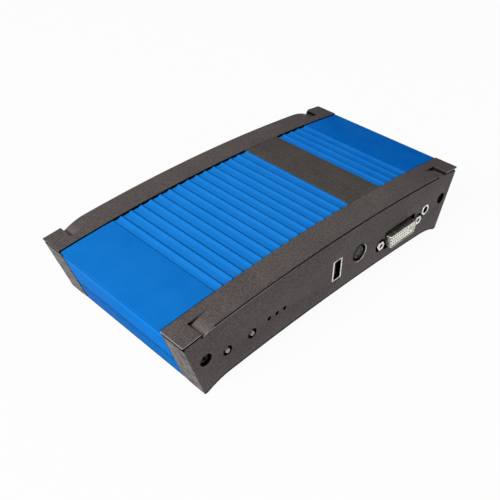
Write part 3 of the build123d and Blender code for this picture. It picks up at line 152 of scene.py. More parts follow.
class Paint:
    """One material or world, built node by node."""

    def __init__(self, name: str, world: bool = False) -> None:
        """Start an empty material or world with an output node.

        Args:
            name: its name.
            world: whether it is a world.
        """
        store, kind = (bpy.data.worlds, "World") if world else (bpy.data.materials, "Material")
        self.owner = store.new(name)
        self.owner.use_nodes = True
        self.tree = self.owner.node_tree
        self.tree.nodes.clear()
        self.sink = self.tree.nodes.new(f"ShaderNodeOutput{kind}")

    def node(self, kind: str, settings: dict, values: dict, output: int | str = 0) -> Signal:
        """Add any node.

        Args:
            kind: the node's type.
            settings: its own settings, which are set first.
            values: numbers or links for its sockets, by name or index.
            output: which output is wanted.

        Returns:
            That output.
        """
        made = self.tree.nodes.new(kind)
        for key, setting in settings.items():
            setattr(made, key, setting)
        for key, value in values.items():
            if isinstance(value, Signal):
                self.tree.links.new(value.socket, made.inputs[key])
            else:
                made.inputs[key].default_value = value
        return Signal(self, made.outputs[output])

    def place(self) -> Signal:
        """The object's own coordinates, in metres."""
        return self.node("ShaderNodeTexCoord", {}, {}, "Object")

    def axis(self, name: str) -> Signal:
        """The object's coordinate X, Y or Z, in millimetres."""
        return self.node("ShaderNodeSeparateXYZ", {}, {0: self.place()}, name) * (1 / MM)

    def noise(self, size: float, detail: float = 2.0, stretch: tuple[float, ...] = (1, 1, 1)) -> Signal:
        """Cloudy noise from 0 to 1.

        Args:
            size: the width of its patches, in metres.
            detail: how many finer layers it has.
            stretch: how much finer it is along each axis.

        Returns:
            The noise.
        """
        scale = tuple(axis / size for axis in stretch)
        spread = self.node("ShaderNodeMapping", {}, {"Vector": self.place(), "Scale": scale})
        values = {"Vector": spread, "Scale": 1.0, "Detail": detail}
        return self.node("ShaderNodeTexNoise", {}, values, "Fac")

    def openness(self, reach: float) -> Signal:
        """How free the surface is of walls within reach, in metres: 1 in the open, near 0 deep in a gap."""
        return self.node("ShaderNodeAmbientOcclusion", {"samples": 6}, {"Distance": reach}, "AO")

    def bump(self, height: Signal, distance: float) -> Signal:
        """Turn a relief from 0 to 1 into a surface normal, at its full depth in metres."""
        return self.node("ShaderNodeBump", {}, {"Height": height, "Distance": distance, "Strength": 1.0})

    def rays(self, kind: str) -> Signal:
        """Give 1 to one kind of ray that meets the surface, and 0 to any other."""
        return self.node("ShaderNodeLightPath", {}, {}, f"Is {kind} Ray")

    def close(self, shader: Signal) -> None:
        """Lead a shader to the output node."""
        self.tree.links.new(shader.socket, self.sink.inputs["Surface"])

    def surface(self, values: dict) -> Material:
        """Close the material with one surface shader, by the values of its sockets."""
        self.close(self.node("ShaderNodeBsdfPrincipled", {}, values))
        return self.owner


def colour(red: int, green: int, blue: int) -> Colour:
    """Turn a screen's red, green and blue, from 0 to 255, into a shader's linear and opaque colour."""
    shares = (red / 255, green / 255, blue / 255)
    return (*(c / 12.92 if c <= 0.04045 else ((c + 0.055) / 1.055) ** 2.4 for c in shares), 1.0)


def scaled(base: Colour, share: float) -> Colour:
    """A colour made lighter or darker by one factor."""
    return (base[0] * share, base[1] * share, base[2] * share, 1.0)


# Finishes


class Places:
    """Where a point of the case lies, in millimetres. Past its sloping ends, beyond is above 0."""

    def __init__(self, paint: Paint) -> None:
        """Measure the point from the middle planes, the ground and the sloping end.

        Args:
            paint: the material that is being built.
        """
        self.along, self.aside, self.height = (paint.axis(name) for name in "XYZ")
        self.across = self.along.absolute()
        self.behind = self.aside - MIDDLE_Y
        self.beyond = self.across - (self.height * END_SLOPE + END_FOOT_X)


class PanelPlaces(Places):
    """Where a point of a side panel lies, and which parts of the panel it is on."""

    RAMP_SKIN: Strip = (-0.12, 0.12)
    IN_NOTCH: Fade = (8.7, 8.8, 1.0, 0.0)
    IN_FRONT: Fade = (-10.0, 10.0, 1.0, 0.0)
    NEAR_FACE: Fade = (0.2, 0.35, 1.0, 0.0)

    def __init__(self, paint: Paint) -> None:
        """Measure the point from each edge that the panel's lines follow.

        Args:
            paint: the material that is being built.
        """
        super().__init__(paint)
        self.inward = HALF_DEPTH - self.behind.absolute()
        self.crown = CROWN_HEIGHT - self.across * self.across * CROWN_DROP
        self.depth = self.crown - self.height
        past = self.across - RAMP_START_X
        bend = past.highest(0.0)
        self.ramp_top = RAMP_START_Z - past * RAMP_SLOPE - bend * bend * RAMP_DROP
        turn = (self.across - ARCH_SHOULDER_X).highest(0.0)
        arch = ARCH_HEIGHT - self.across * self.across * ARCH_DROP - turn * turn * SHOULDER_DROP
        self.over_arch = self.height - arch.highest(0.0)
        on_slope = self.across.band(RAMP_START_X, RAMP_FOOT_X)
        self.on_ramp = (self.height - self.ramp_top).band(*self.RAMP_SKIN) * on_slope
        self.in_notch = self.inward.ramp(*self.IN_NOTCH)
        self.in_front = self.aside.ramp(*self.IN_FRONT)
        self.near_face = self.inward.ramp(*self.NEAR_FACE)


@dataclass(frozen=True)
class PanelPlastic:
    """Dark moulded plastic with a fine leathery grain, a painted pale reflection on the end faces, painted
    highlights on lit edges, and painted shade in grooves and holes.

    The ranges of the lines are in millimetres.
    """

    name: str
    base: Colour
    # A painted pale reflection of the floor on the end faces, mottled
    end_reflection_tone: Colour = colour(98, 94, 91)
    # Painted highlight on the lit edges
    highlight_tone: Colour = colour(146, 140, 136)
    # Painted shade, laid in grooves, holes, gaps and hollows
    shade_tone: Colour = colour(8, 7, 7)
    grain_shares: Point = (0.72, 1.5)
    mottle_shares: Point = (0.35, 1.7)
    # Painted shade on the rail tops towards the far end
    far_shade_share: float = 0.5
    # Painted highlight on the notch ramps
    ramp_highlight_share: float = 2.1
    shadow_reach: float = 1.5 * MM
    grain_size: float = 0.8 * MM
    fine_size: float = 0.3 * MM
    cloud_size: float = 22 * MM
    blotch_size: float = 2.6 * MM
    end_skin: Fade = (-0.2, -0.1)
    far_end: Fade = (45.0, 95.0, 0.0, 0.45)
    off_face: Fade = (0.35, 0.6)
    ramp_highlight_part: Fade = (81.0, RAMP_FOOT_X, 0.0, 0.6)
    # Where painted highlights run: the end's top edge, the corner block and the groove's lower edge
    end_top: Fade = (35.7, 35.85)
    end_rim: Fade = (-0.3, -0.15)
    block_start: Fade = (89.6, 89.7)
    block_rim: Strip = (0.35, 0.8)
    face_drop: float = 1.8
    face_rim: Strip = (-0.3, 0.05)
    rim_fade: Fade = (-60.0, -20.0, 0.85, 0.0)
    rim_end: Fade = (RAMP_FOOT_X, RAMP_FOOT_X + 0.1, 1.0, 0.0)
    # Where painted shade lies: grooves, holes, notch walls, the rail's inner wall and the outer edges
    groove: Strip = (0.75, 1.95, 0.15)
    groove_mouth: Fade = (0.02, 0.12)
    end_wall: Fade = (-0.9, -0.7)
    end_groove: Strip = (33.6, 35.5)
    hole_mouth: Fade = (0.03, 0.16)
    hole_heights: Strip = (9.5, 33.4)
    notch_wall: Strip = (RAMP_FOOT_X - 0.1, 89.65)
    notch_depth: Strip = (0.3, 3.0)
    wall_fade: Fade = (-60.0, 60.0, 1.0, 0.35)
    inner_wall: Strip = (RAIL_DEPTH - 0.06, RAIL_DEPTH + 0.03, 0.03)
    crossbar: Strip = (21.5, 47.2)
    bottom_line: Fade = (0.95, 1.2, 0.9, 0.0)
    back_line: Strip = (-0.1, 0.5)
    back_share: float = 0.8

    def plain(self, at: PanelPlaces, speckle: Signal, blotch: Signal) -> Signal:
        """Colour the grained skin, with a mottled painted reflection on the end faces and painted shade on
        top at the far end.

        Args:
            at: where the point lies.
            speckle: the fine grain, from 0 to 1.
            blotch: the coarse one, from 0 to 1.

        Returns:
            The colour.
        """
        body = speckle.ramp(0.36, 0.66).blend(*(scaled(self.base, share) for share in self.grain_shares))
        mottle = (speckle * 0.5 + blotch * 0.5).ramp(0.38, 0.62)
        # Painted reflection of the floor on the end faces
        end = mottle.blend(*(scaled(self.end_reflection_tone, share) for share in self.mottle_shares))
        # Painted shade on top towards the far end
        far_top = at.along.ramp(*self.far_end) * at.inward.ramp(*self.off_face)
        skin = at.beyond.ramp(*self.end_skin).blend(body, end)
        return far_top.blend(skin, scaled(self.base, self.far_shade_share))

    def lit(self, at: PanelPlaces, skin: Signal) -> Signal:
        """Paint highlights on the notch ramps and on the lit edges of the front panel.

        Args:
            at: where the point lies.
            skin: the colour so far.

        Returns:
            The colour.
        """
        # Painted highlight on the notch ramps, which face the light
        ramp_highlight = at.on_ramp * at.in_notch * at.across.ramp(*self.ramp_highlight_part)
        end_edge = at.height.ramp(*self.end_top) * at.beyond.ramp(*self.end_rim) * at.in_front
        block_edge = at.across.ramp(*self.block_start) * at.near_face * at.depth.band(*self.block_rim)
        face_top = (at.crown - self.face_drop).lowest(at.ramp_top)
        rim = (at.height - face_top).band(*self.face_rim) * at.near_face * at.in_front
        rim = rim * at.along.ramp(*self.rim_fade) * at.across.ramp(*self.rim_end)
        skin = ramp_highlight.blend(skin, scaled(self.base, self.ramp_highlight_share))
        return rim.blend(end_edge.highest(block_edge).blend(skin, self.highlight_tone), self.highlight_tone)

    def shade(self, at: PanelPlaces) -> Signal:
        """Mark what lies in shadow.

        Args:
            at: where the point lies.

        Returns:
            1 in full shadow and 0 in the open.
        """
        wall = at.across.band(*self.notch_wall) * at.depth.band(*self.notch_depth) * at.in_notch
        hole = at.inward.ramp(*self.hole_mouth) * at.height.band(*self.hole_heights)
        back = at.near_face * (1.0 - at.in_front) * at.depth.band(*self.back_line)
        return functools.reduce(Signal.highest, (
            at.inward.ramp(*self.groove_mouth) * at.depth.band(*self.groove) * (1.0 - at.on_ramp),
            at.beyond.ramp(*self.end_wall) * at.height.band(*self.end_groove),
            hole * at.beyond.ramp(*self.end_wall, 1.0, 0.0),
            wall * (1.0 - at.on_ramp) * at.along.ramp(*self.wall_fade),
            at.inward.band(*self.inner_wall) * (1.0 - at.along.band(*self.crossbar)),
            at.near_face * at.over_arch.ramp(*self.bottom_line),
            back * self.back_share,
        ))

    def material(self) -> Material:
        """Build the material.

        Returns:
            The finished material.
        """
        paint = Paint(self.name)
        at = PanelPlaces(paint)
        grain, fine = paint.noise(self.grain_size), paint.noise(self.fine_size, 1.0)
        cloud, blotch = paint.noise(self.cloud_size), paint.noise(self.blotch_size)
        speckle = (grain * 0.55 + fine * 0.45 + (cloud - 0.5) * 0.14).clamped()
        skin = self.lit(at, self.plain(at, speckle, blotch))
        # Painted shade in hollows and in the grooves, holes and gaps that shade() marks
        free = paint.openness(self.shadow_reach).ramp(0.2, 0.75) * (1.0 - self.shade(at))
        return paint.surface({
            "Base Color": free.blend(self.shade_tone, skin),
            "Roughness": grain.ramp(0.3, 0.7, 0.42, 0.55),
            "IOR": 1.14,
            "Normal": paint.bump(speckle, 0.04 * MM),
        })


@dataclass(frozen=True)
class Streak:
    """A soft line across a surface: the range it lies on, how far outside that it fades, and its strength."""

    reach: Point
    fade: float
    share: float

    def mark(self, value: Signal) -> Signal:
        """How strong the line is at a point."""
        return value.band(*self.reach, self.fade) * self.share


@dataclass(frozen=True)
class CoverPlastic:
    """Bright matte plastic with painted shade that darkens it along the case, painted highlights and shade on
    its ribs, and painted shade in the gaps at the rear rail.

    The ranges of the lines are in millimetres.
    """

    name: str
    near: Colour
    far: Colour
    fleck: Colour = colour(34, 132, 216)
    # Painted shade in gaps, grooves, rib drops and along the lower edge
    shade_tone: Colour = colour(2, 18, 44)
    # Painted light on the ribs' rises
    rib_highlight: Colour = colour(50, 156, 244)
    # Painted light on the end walls
    end_highlight: Colour = colour(20, 140, 240)
    grain_size: float = 0.6 * MM
    cloud_size: float = 14 * MM
    fleck_share: float = 0.2
    shade_reach: float = 1.2 * MM
    # Painted shade along the case, where the top slopes away from the light
    far_shading: Fade = (-20.0, 95.0)
    rib_start: float = -64.25
    rib_pitch: float = 6.155
    rib_field: Strip = (-69.25, 71.4)
    rib_height: Fade = (37.6, 37.8)
    # Painted shade on the ribs' drops and painted light on their rises
    rib_drop: Streak = Streak((0.3, 1.15), 0.2, 0.1)
    rib_rise: Streak = Streak((1.6, 5.9), 0.4, 0.14)
    # Painted shade in the gap beside the rear rail and round the cover's corner
    corner_radius: float = 1.6
    corner_y: float = 34.75
    corner_height: Fade = (35.4, 35.6)
    side_gap: Fade = (36.2, 36.34)
    end_gap: Fade = (35.7, 35.9)
    end_wall: Fade = (-2.2, -2.0)
    end_top: Fade = (35.6, 35.75, 1.0, 0.0)
    # Painted light on the end facets and the groove's lower edge, and painted shade in the grooves and split
    end_highlights: tuple[Streak, ...] = (Streak((16.2, 33.4), 0.5, 0.3), Streak((31.0, 32.5), 0.7, 0.4))
    end_shades: tuple[Streak, ...] = (
        Streak((34.5, 35.3), 0.5, 0.55),
        Streak((27.3, 27.6), 0.4, 0.2),
        Streak((14.6, 15.8), 0.3, 0.5),
        Streak((12.0, 12.5), 0.4, 0.3),
    )
    # Painted shade along the lower edge
    low_edge: Fade = (1.4, 2.2, 0.85, 0.0)
    low_edge_start: Fade = (-6.0, -5.0)

    def ribs(self, at: Places, skin: Signal) -> Signal:
        """Paint shade on the ribs' steep sides and painted light on their long ones.

        Args:
            at: where the point lies.
            skin: the colour so far.

        Returns:
            The colour.
        """
        phase = ((at.along - self.rib_start) * (1 / self.rib_pitch)).fraction() * self.rib_pitch
        ribbed = at.along.band(*self.rib_field) * at.height.ramp(*self.rib_height)
        skin = (self.rib_drop.mark(phase) * ribbed).blend(skin, self.shade_tone)
        return (self.rib_rise.mark(phase) * ribbed).blend(skin, self.rib_highlight)

    def ends(self, at: Places, on_end: Signal, skin: Signal) -> Signal:
        """Paint the highlights and the shaded lines across the end walls, and painted shade along the lower
        edge.

        Args:
            at: where the point lies.
            on_end: 1 on an end wall.
            skin: the colour so far.

        Returns:
            The colour.
        """
        for streaks, tone in ((self.end_highlights, self.end_highlight), (self.end_shades, self.shade_tone)):
            for streak in streaks:
                skin = (streak.mark(at.height) * on_end).blend(skin, tone)
        low = at.height.ramp(*self.low_edge) * at.beyond.ramp(*self.low_edge_start)
        return low.blend(skin, self.shade_tone)

    def gap(self, at: Places, on_end: Signal) -> Signal:
        """Mark the painted shade in the gap beside the rear rail, which also rounds the cover's corner.

        Args:
            at: where the point lies.
            on_end: 1 on an end wall.

        Returns:
            1 in the gap.
        """
        beside = at.behind.ramp(*self.side_gap).highest(at.behind.ramp(*self.end_gap) * on_end)
        off_corner = (at.behind - self.corner_y).highest(0.0)
        off_end = (at.beyond + self.corner_radius).highest(0.0)
        reach = off_corner * off_corner + off_end * off_end
        corner = reach.ramp(self.corner_radius ** 2 * 0.9, self.corner_radius ** 2 * 1.1)
        return beside.highest(corner * at.height.ramp(*self.corner_height))

    def material(self) -> Material:
        """Build the material.

        Returns:
            The finished material.
        """
        paint = Paint(self.name)
        at = Places(paint)
        on_end = at.beyond.ramp(*self.end_wall) * at.height.ramp(*self.end_top)
        grain, cloud = paint.noise(self.grain_size), paint.noise(self.cloud_size, 2.5)
        tone = (grain * 0.55 + cloud * 0.45).ramp(0.35, 0.65) * self.fleck_share
        # Painted shade from the near colour to the far one along the case
        skin = tone.blend(at.along.ramp(*self.far_shading).blend(self.near, self.far), self.fleck)
        skin = self.ends(at, on_end, self.ribs(at, skin))
        skin = self.gap(at, on_end).blend(skin, self.shade_tone)
        return paint.surface({
            # Painted shade in hollows
            "Base Color": paint.openness(self.shade_reach).ramp(0.1, 0.75, 0.65).blend(self.shade_tone, skin),
            "Roughness": grain.ramp(0.3, 0.7, 0.5, 0.64),
            "IOR": 1.06,
            "Specular IOR Level": 0.25,
            "Normal": paint.bump(grain, 0.025 * MM),
        })


@dataclass(frozen=True)
class MouldedPlastic:
    """Small moulded parts with a faint grain, with painted shade in their hollows. They may have painted
    shade behind pit_y, in millimetres.
    """

    name: str
    base: Colour
    fleck: Colour
    roughness: float = 0.5
    grain_size: float = 0.3 * MM
    grain_depth: float = 0.01 * MM
    shade_reach: float = 0.8 * MM
    pit_y: float | None = None
    ior: float = 1.45

    def material(self) -> Material:
        """Build the material.

        Returns:
            The finished material.
        """
        paint = Paint(self.name)
        grain, cloud = paint.noise(self.grain_size), paint.noise(self.grain_size * 12)
        tone = (grain * 0.6 + cloud * 0.4).ramp(0.36, 0.66)
        # Painted shade in hollows and behind pit_y
        free = paint.openness(self.shade_reach).ramp(0.0, 0.7, 0.1, 1.0)
        if self.pit_y is not None:
            free = free * paint.axis("Y").ramp(self.pit_y, self.pit_y + PIT_FADE, 1.0, 0.0)
        return paint.surface({
            "Base Color": free.blend(scaled(self.base, 0.04), tone.blend(self.base, self.fleck)),
            "Roughness": grain.ramp(0.3, 0.7, self.roughness - 0.06, self.roughness + 0.06),
            "IOR": self.ior,
            "Normal": paint.bump(grain, self.grain_depth),
        })


@dataclass(frozen=True)
class PlatedMetal:
    """Thin plating over rolled or turned metal, with fine drawn lines and dull stains.

    Shade is painted in its hollows, and it may have painted shade behind pit_y, in two bores (their middle,
    half their distance, height and radius), and on one side of a ring (its middle, height and reach), all in
    millimetres.
    """

    name: str
    base: Colour
    roughness: float = 0.28
    lines: tuple[float, ...] = (1, 12, 1)
    stain_share: float = 0.55
    shade_reach: float = 2.5 * MM
    pit_y: float | None = None
    bore: tuple[float, ...] | None = None
    shaded_side: tuple[float, ...] | None = None

    def material(self) -> Material:
        """Build the material.

        Returns:
            The finished material.
        """
        paint = Paint(self.name)
        drawn, stain = paint.noise(1.2 * MM, 3.0, self.lines), paint.noise(1.6 * MM, 2.5)
        clean = stain.ramp(0.42, 0.68).blend(self.base, scaled(self.base, self.stain_share))
        # Painted shade in hollows, behind pit_y, in the bores and on one side of the ring
        free = paint.openness(self.shade_reach).ramp(0.35, 0.8)
        across, height = paint.axis("X"), paint.axis("Z")
        if self.pit_y is not None:
            free = free * paint.axis("Y").ramp(self.pit_y, self.pit_y + PIT_FADE, 1.0, 0.0)
        if self.bore is not None:
            middle, half_apart, level, radius = self.bore
            aside, above = (across - middle).absolute() - half_apart, height - level
            free = free * (aside * aside + above * above).ramp(radius ** 2 * 0.85, radius ** 2)
        if self.shaded_side is not None:
            middle, level, reach = self.shaded_side
            free = free * ((across - middle) * 0.8 - (height - level) * 0.6).ramp(-reach, reach)
        return paint.surface({
            "Base Color": free.blend(scaled(self.base, 0.03), clean),
            "Metallic": 1.0,
            "Roughness": drawn.ramp(0.25, 0.75, self.roughness - 0.08, self.roughness + 0.14),
            "Normal": paint.bump(drawn, 0.008 * MM),
        })


@dataclass(frozen=True)
class SmokedLens:
    """Dark clear plastic of an unlit lamp, with a soft skin."""

    name: str
    tint: Colour

    def material(self) -> Material:
        """Build the material.

        Returns:
            The finished material.
        """
        paint = Paint(self.name)
        cloud = paint.noise(0.5 * MM)
        return paint.surface({
            "Base Color": cloud.ramp(0.3, 0.7).blend(self.tint, scaled(self.tint, 1.6)),
            "Roughness": cloud.ramp(0.3, 0.7, 0.1, 0.22),
            "Coat Weight": 0.6,
        })


@dataclass(frozen=True)
class SolderMask:
    """A circuit board's lacquer over copper tracks."""

    name: str
    lacquer: Colour
    track: Colour

    def material(self) -> Material:
        """Build the material.

        Returns:
            The finished material.
        """
        paint = Paint(self.name)
        bricks = {"Vector": paint.place(), "Scale": 1 / (6 * MM), "Mortar Size": 0.06}
        bricks |= {"Color1": BLACK, "Color2": BLACK, "Mortar": WHITE}
        tracks = paint.node("ShaderNodeTexBrick", {}, bricks, "Fac")
        weave = paint.noise(0.5 * MM)
        return paint.surface({
            "Base Color": tracks.blend(self.lacquer, self.track),
            "Roughness": weave.ramp(0.3, 0.7, 0.25, 0.4),
            "Coat Weight": 0.4,
            "Normal": paint.bump(tracks, 0.03 * MM),
        })


class Finish(Enum):
    """Every finish on the encoder."""

    PANEL = PanelPlastic("dark_grained_plastic", colour(80, 74, 73))
    BRIDGE = PanelPlastic("dark_crossbar_plastic", colour(69, 65, 62))
    # The two blues are the near and far ends of the painted shade along the case
    BLUE = CoverPlastic("blue_matte_plastic", colour(14, 105, 185), colour(0, 87, 172))
    SOCKET = MouldedPlastic("black_socket_plastic", colour(26, 25, 26), colour(48, 47, 48), 0.42,
                            shade_reach=2.5 * MM, ior=1.2)
    DIN_CORE = MouldedPlastic("dark_core_plastic", colour(50, 47, 46), colour(84, 80, 78), 0.5,
                              shade_reach=1.0 * MM, ior=1.2)
    COLLAR = MouldedPlastic("black_collar_plastic", colour(10, 9, 9), colour(16, 15, 15), 0.4, ior=1.1)
    BUTTON = MouldedPlastic("grey_button_plastic", colour(96, 93, 92), colour(190, 186, 183), 0.3, 0.25 * MM)
    # Painted shade inside the contact holes
    IVORY = MouldedPlastic("ivory_contact_plastic", colour(246, 243, 228), colour(255, 253, 244), 0.4,
                           shade_reach=0.3 * MM, pit_y=-51.45)
    CREAM = MouldedPlastic("cream_lamp_plastic", colour(214, 212, 200), colour(228, 226, 214), 0.4)
    CHIP = MouldedPlastic("moulded_chip_plastic", colour(40, 40, 42), colour(56, 56, 58), 0.55)
    FERRITE = MouldedPlastic("coil_ferrite", colour(88, 88, 92), colour(108, 108, 112), 0.6)
    HEAT_PAD = MouldedPlastic("soft_heat_pad", colour(176, 178, 184), colour(190, 192, 198), 0.8, 0.6 * MM,
                              0.04 * MM)
    PLATED = PlatedMetal("tin_plated_steel", colour(232, 230, 224))
    # Painted shade inside the socket
    USB_SHELL = PlatedMetal("tin_plated_socket_shell", colour(240, 238, 232), pit_y=-49.15)
    # Painted shade on the ring's upper left side
    DIN_RING = PlatedMetal("tin_plated_ring", colour(240, 238, 232), shaded_side=(15.9, 21.5, 2.4))
    # Painted shade in the bores of the sleeve and the posts
    JACK_SLEEVE = PlatedMetal("tin_plated_sleeve", colour(244, 242, 236), bore=(73.45, 0.0, 20.2, 2.1))
    POSTS = PlatedMetal("tin_plated_posts", colour(244, 242, 236), shade_reach=0.8 * MM,
                        bore=(50.4, 16.65, 16.6, 1.3))
    CAN = PlatedMetal("drawn_can_steel", colour(214, 214, 212), 0.3)
    SHELL_GREY = PlatedMetal("dulled_shell_steel", colour(216, 213, 203), 0.34, (1, 3, 1), 0.45)
    SINK = PlatedMetal("extruded_aluminium", colour(204, 206, 208), 0.42, (12, 1, 1))
    GOLD = PlatedMetal("gold_plated_contacts", colour(240, 206, 132), 0.22)
    BRASS = PlatedMetal("turned_brass", colour(222, 186, 112), 0.3)
    BLACK_STEEL = PlatedMetal("blackened_steel", colour(52, 50, 50), 0.36)
    BOARD = SolderMask("green_solder_mask", colour(22, 96, 52), colour(44, 128, 74))
    LENS = SmokedLens("smoked_lamp_lens", colour(22, 22, 21))


# Bench


def placed(name: str, data: bpy.types.ID) -> Piece:
    """Put a new object with its data in the scene.

    Args:
        name: its name.
        data: its mesh, light or camera.

    Returns:
        The object.
    """
    made = bpy.data.objects.new(name, data)
    bpy.context.scene.collection.objects.link(made)
    return made


def laid(name: str, shape: Shape) -> Piece:
    """Turn a shape, which is used up, into an object in the scene.

    Args:
        name: its name.
        shape: its mesh, in place.

    Returns:
        The object.
    """
    mesh = bpy.data.meshes.new(name)
    for face in shape.faces:
        face.smooth = True
    shape.to_mesh(mesh)
    shape.free()
    return placed(name, mesh)


@dataclass
class Bench:
    """Turns meshes into dressed pieces that ride on the case or its buttons."""

    paints: dict[Finish, Material] = field(default_factory=dict)

    def dress(self, piece: Piece, finish: Finish) -> None:
        """Give a whole piece one finish.

        Args:
            piece: the piece.
            finish: its finish.
        """
        if finish not in self.paints:
            self.paints[finish] = finish.value.material()
        piece.data.materials.clear()
        piece.data.materials.append(self.paints[finish])

    def carry(self, node: str, finish: Finish) -> None:
        """Keep a solid's own shape and give it a finish."""
        self.dress(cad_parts[node], finish)
        LOG.info("%s: kept as it is", node)

    def add(self, name: str, shape: Shape, node: str, finish: Finish, body: str = "case") -> Piece:
        """Make a piece of a finished shape.

        Args:
            name: the piece's name.
            shape: its mesh, in place. It is used up.
            node: the solid it stands for, not used.
            finish: its finish.
            body: what it rides on.

        Returns:
            The piece.
        """
        bmesh.ops.remove_doubles(shape, verts=shape.verts, dist=0.001 * MM)
        bmesh.ops.recalc_face_normals(shape, faces=shape.faces)
        for edge in shape.edges:
            if len(edge.link_faces) == 2:
                edge.smooth = edge.calc_face_angle(0.0) < SHARP_FROM
        piece = laid(name, shape)
        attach(piece, body)
        self.dress(piece, finish)
        LOG.info("%s: %d faces", name, len(piece.data.polygons))
        return piece

    def soften(self, node: str, finish: Finish, width: float, sharp: float = 22.0,
               clamp: bool = False) -> None:
        """Make a piece from a solid's own mesh, with its sharp edges rounded.

        Args:
            node: the solid's name.
            finish: the piece's finish.
            width: how wide the rounding is, in metres.
            sharp: the angle in degrees past which an edge is rounded.
            clamp: whether the rounding narrows where edges lie close together.
        """
        shape = bmesh.new()
        shape.from_mesh(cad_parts[node].data)
        bmesh.ops.remove_doubles(shape, verts=shape.verts, dist=0.002 * MM)
        bmesh.ops.dissolve_limit(shape, angle_limit=FLAT_TO, verts=shape.verts, edges=shape.edges)
        piece = laid(f"{node}_shell", shape)
        rounding = piece.modifiers.new("rounded_edges", "BEVEL")
        rounding.width = width
        rounding.segments = 3
        rounding.limit_method = "ANGLE"
        rounding.angle_limit = math.radians(sharp)
        rounding.use_clamp_overlap = clamp
        rounding.harden_normals = True
        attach(piece, "case")
        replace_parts(piece, node)
        self.dress(piece, finish)
        LOG.info("%s: %d faces before rounding", piece.name, len(piece.data.polygons))


def turned(profile: Profile, centres: list[Point], closed: bool = False, steps: int = 40) -> Shape:
    """Turn a profile round one or more lines along Y.

    Args:
        profile: points of radius and Y, in millimetres.
        centres: X and Z of each line, in millimetres.
        closed: whether the last point joins the first, as in a ring.
        steps: how many faces go round.

    Returns:
        The turned shape.
    """
    shape = bmesh.new()
    for x, z in centres:
        points = [shape.verts.new(((x + radius) * MM, y * MM, z * MM)) for radius, y in profile]
        ends = points[1:] + (points[:1] if closed else [])
        line = points + [shape.edges.new(pair) for pair in zip(points, ends)]
        middle = (x * MM, 0.0, z * MM)
        bmesh.ops.spin(shape, geom=line, cent=middle, axis=(0, 1, 0), angle=math.tau, steps=steps,
                       use_merge=True)
    return shape


# Sub-assemblies


@dataclass(frozen=True)
class Assembly:
    """A sub-assembly, and the bench that its pieces are made on."""

    bench: Bench


@dataclass(frozen=True)
class Case(Assembly):
    """The two side panels, the blue cover and tray, and the crossbar."""

    panel_edge: float = 0.3 * MM
    cover_edge: float = 0.3 * MM

    def build(self) -> None:
        """Make the case's pieces."""
        for node in ("front_panel", "rear_panel"):
            self.bench.soften(node, Finish.PANEL, self.panel_edge, clamp=True)
        for node in ("top_cover", "bottom_tray"):
            self.bench.soften(node, Finish.BLUE, self.cover_edge)
        self.bench.soften("label_bridge", Finish.BRIDGE, self.cover_edge)


@dataclass(frozen=True)
class CrossScrew:
    """A cross-recessed screw: domed head, recess and plain shank."""

    head_radius: float = 2.75
    head_height: float = 2.2
    shank_radius: float = 1.45
    shank_length: float = 20.5
    recess_reach: float = 1.5
    recess_half: float = 0.36
    recess_depth: float = 1.15
    pad_half: float = 1.72

    def shape(self, turn: float) -> Shape:
        """Make one screw whose head points along -Y from the origin.

        Args:
            turn: how far the cross is turned, in radians.

        Returns:
            Its mesh, in metres.
        """
        shape = bmesh.new()
        bmesh.ops.create_grid(shape, x_segments=5, y_segments=5, size=0.5)
        halves = (self.recess_half, self.recess_reach, self.pad_half)
        lines = (*(-half for half in halves[::-1]), *halves)
        for vert in shape.verts:
            column, row = round((vert.co.x + 0.5) * 5), round((vert.co.y + 0.5) * 5)
            vert.co = Vector((lines[column], lines[row], 0.0))
        cross = [face for face in shape.faces if self.in_cross(face.calc_center_median())]
        deep = bmesh.ops.extrude_face_region(shape, geom=cross)
        bmesh.ops.delete(shape, geom=cross, context="FACES_ONLY")
        sunk = [item for item in deep["geom"] if isinstance(item, bmesh.types.BMVert)]
        bmesh.ops.translate(shape, verts=sunk, vec=(0, 0, -self.recess_depth))
        bmesh.ops.scale(shape, verts=sunk, vec=(0.72, 0.72, 1.0))
        level = [edge for edge in shape.edges if all(abs(vert.co.z) < 1e-6 for vert in edge.verts)]
        outer = [edge for edge in level if edge.is_boundary]
        rim = bmesh.ops.create_circle(shape, segments=20, radius=self.pad_half * 1.28)
        rim_edges = list({edge for vert in rim["verts"] for edge in vert.link_edges})
        for vert in rim["verts"]:
            vert.co.z -= 0.08
        bmesh.ops.bridge_loops(shape, edges=outer + rim_edges)
        self.drawn_out(shape, rim_edges, (
            (self.head_radius * 0.93, -0.22),
            (self.head_radius, -0.5),
            (self.head_radius, -self.head_height),
            (self.shank_radius, -self.head_height),
            (self.shank_radius, -self.shank_length),
        ))
        place = Matrix.Rotation(math.pi / 2, 4, "X") @ Matrix.Rotation(turn, 4, "Z")
        bmesh.ops.transform(shape, verts=shape.verts, matrix=Matrix.Scale(MM, 4) @ place)
        return shape

    def in_cross(self, middle: Vector) -> bool:
        """Whether a face of the grid belongs to the cross."""
        across, along = sorted((abs(middle.x), abs(middle.y)))
        return across < self.recess_half and along < self.recess_reach

    @staticmethod
    def drawn_out(shape: Shape, loop: list[bmesh.types.BMEdge], steps: Profile) -> None:
        """Extrude a round loop down through several radii and close its end.

        Args:
            shape: the mesh.
            loop: the round loop.
            steps: radius and height of each next loop.
        """
        for radius, height in steps:
            grown = bmesh.ops.extrude_edge_only(shape, edges=loop)["geom"]
            for vert in (item for item in grown if isinstance(item, bmesh.types.BMVert)):
                flat = Vector((vert.co.x, vert.co.y, 0.0)).normalized() * radius
                vert.co = Vector((flat.x, flat.y, height))
            loop = [item for item in grown if isinstance(item, bmesh.types.BMEdge)]
        bmesh.ops.holes_fill(shape, edges=loop, sides=0)


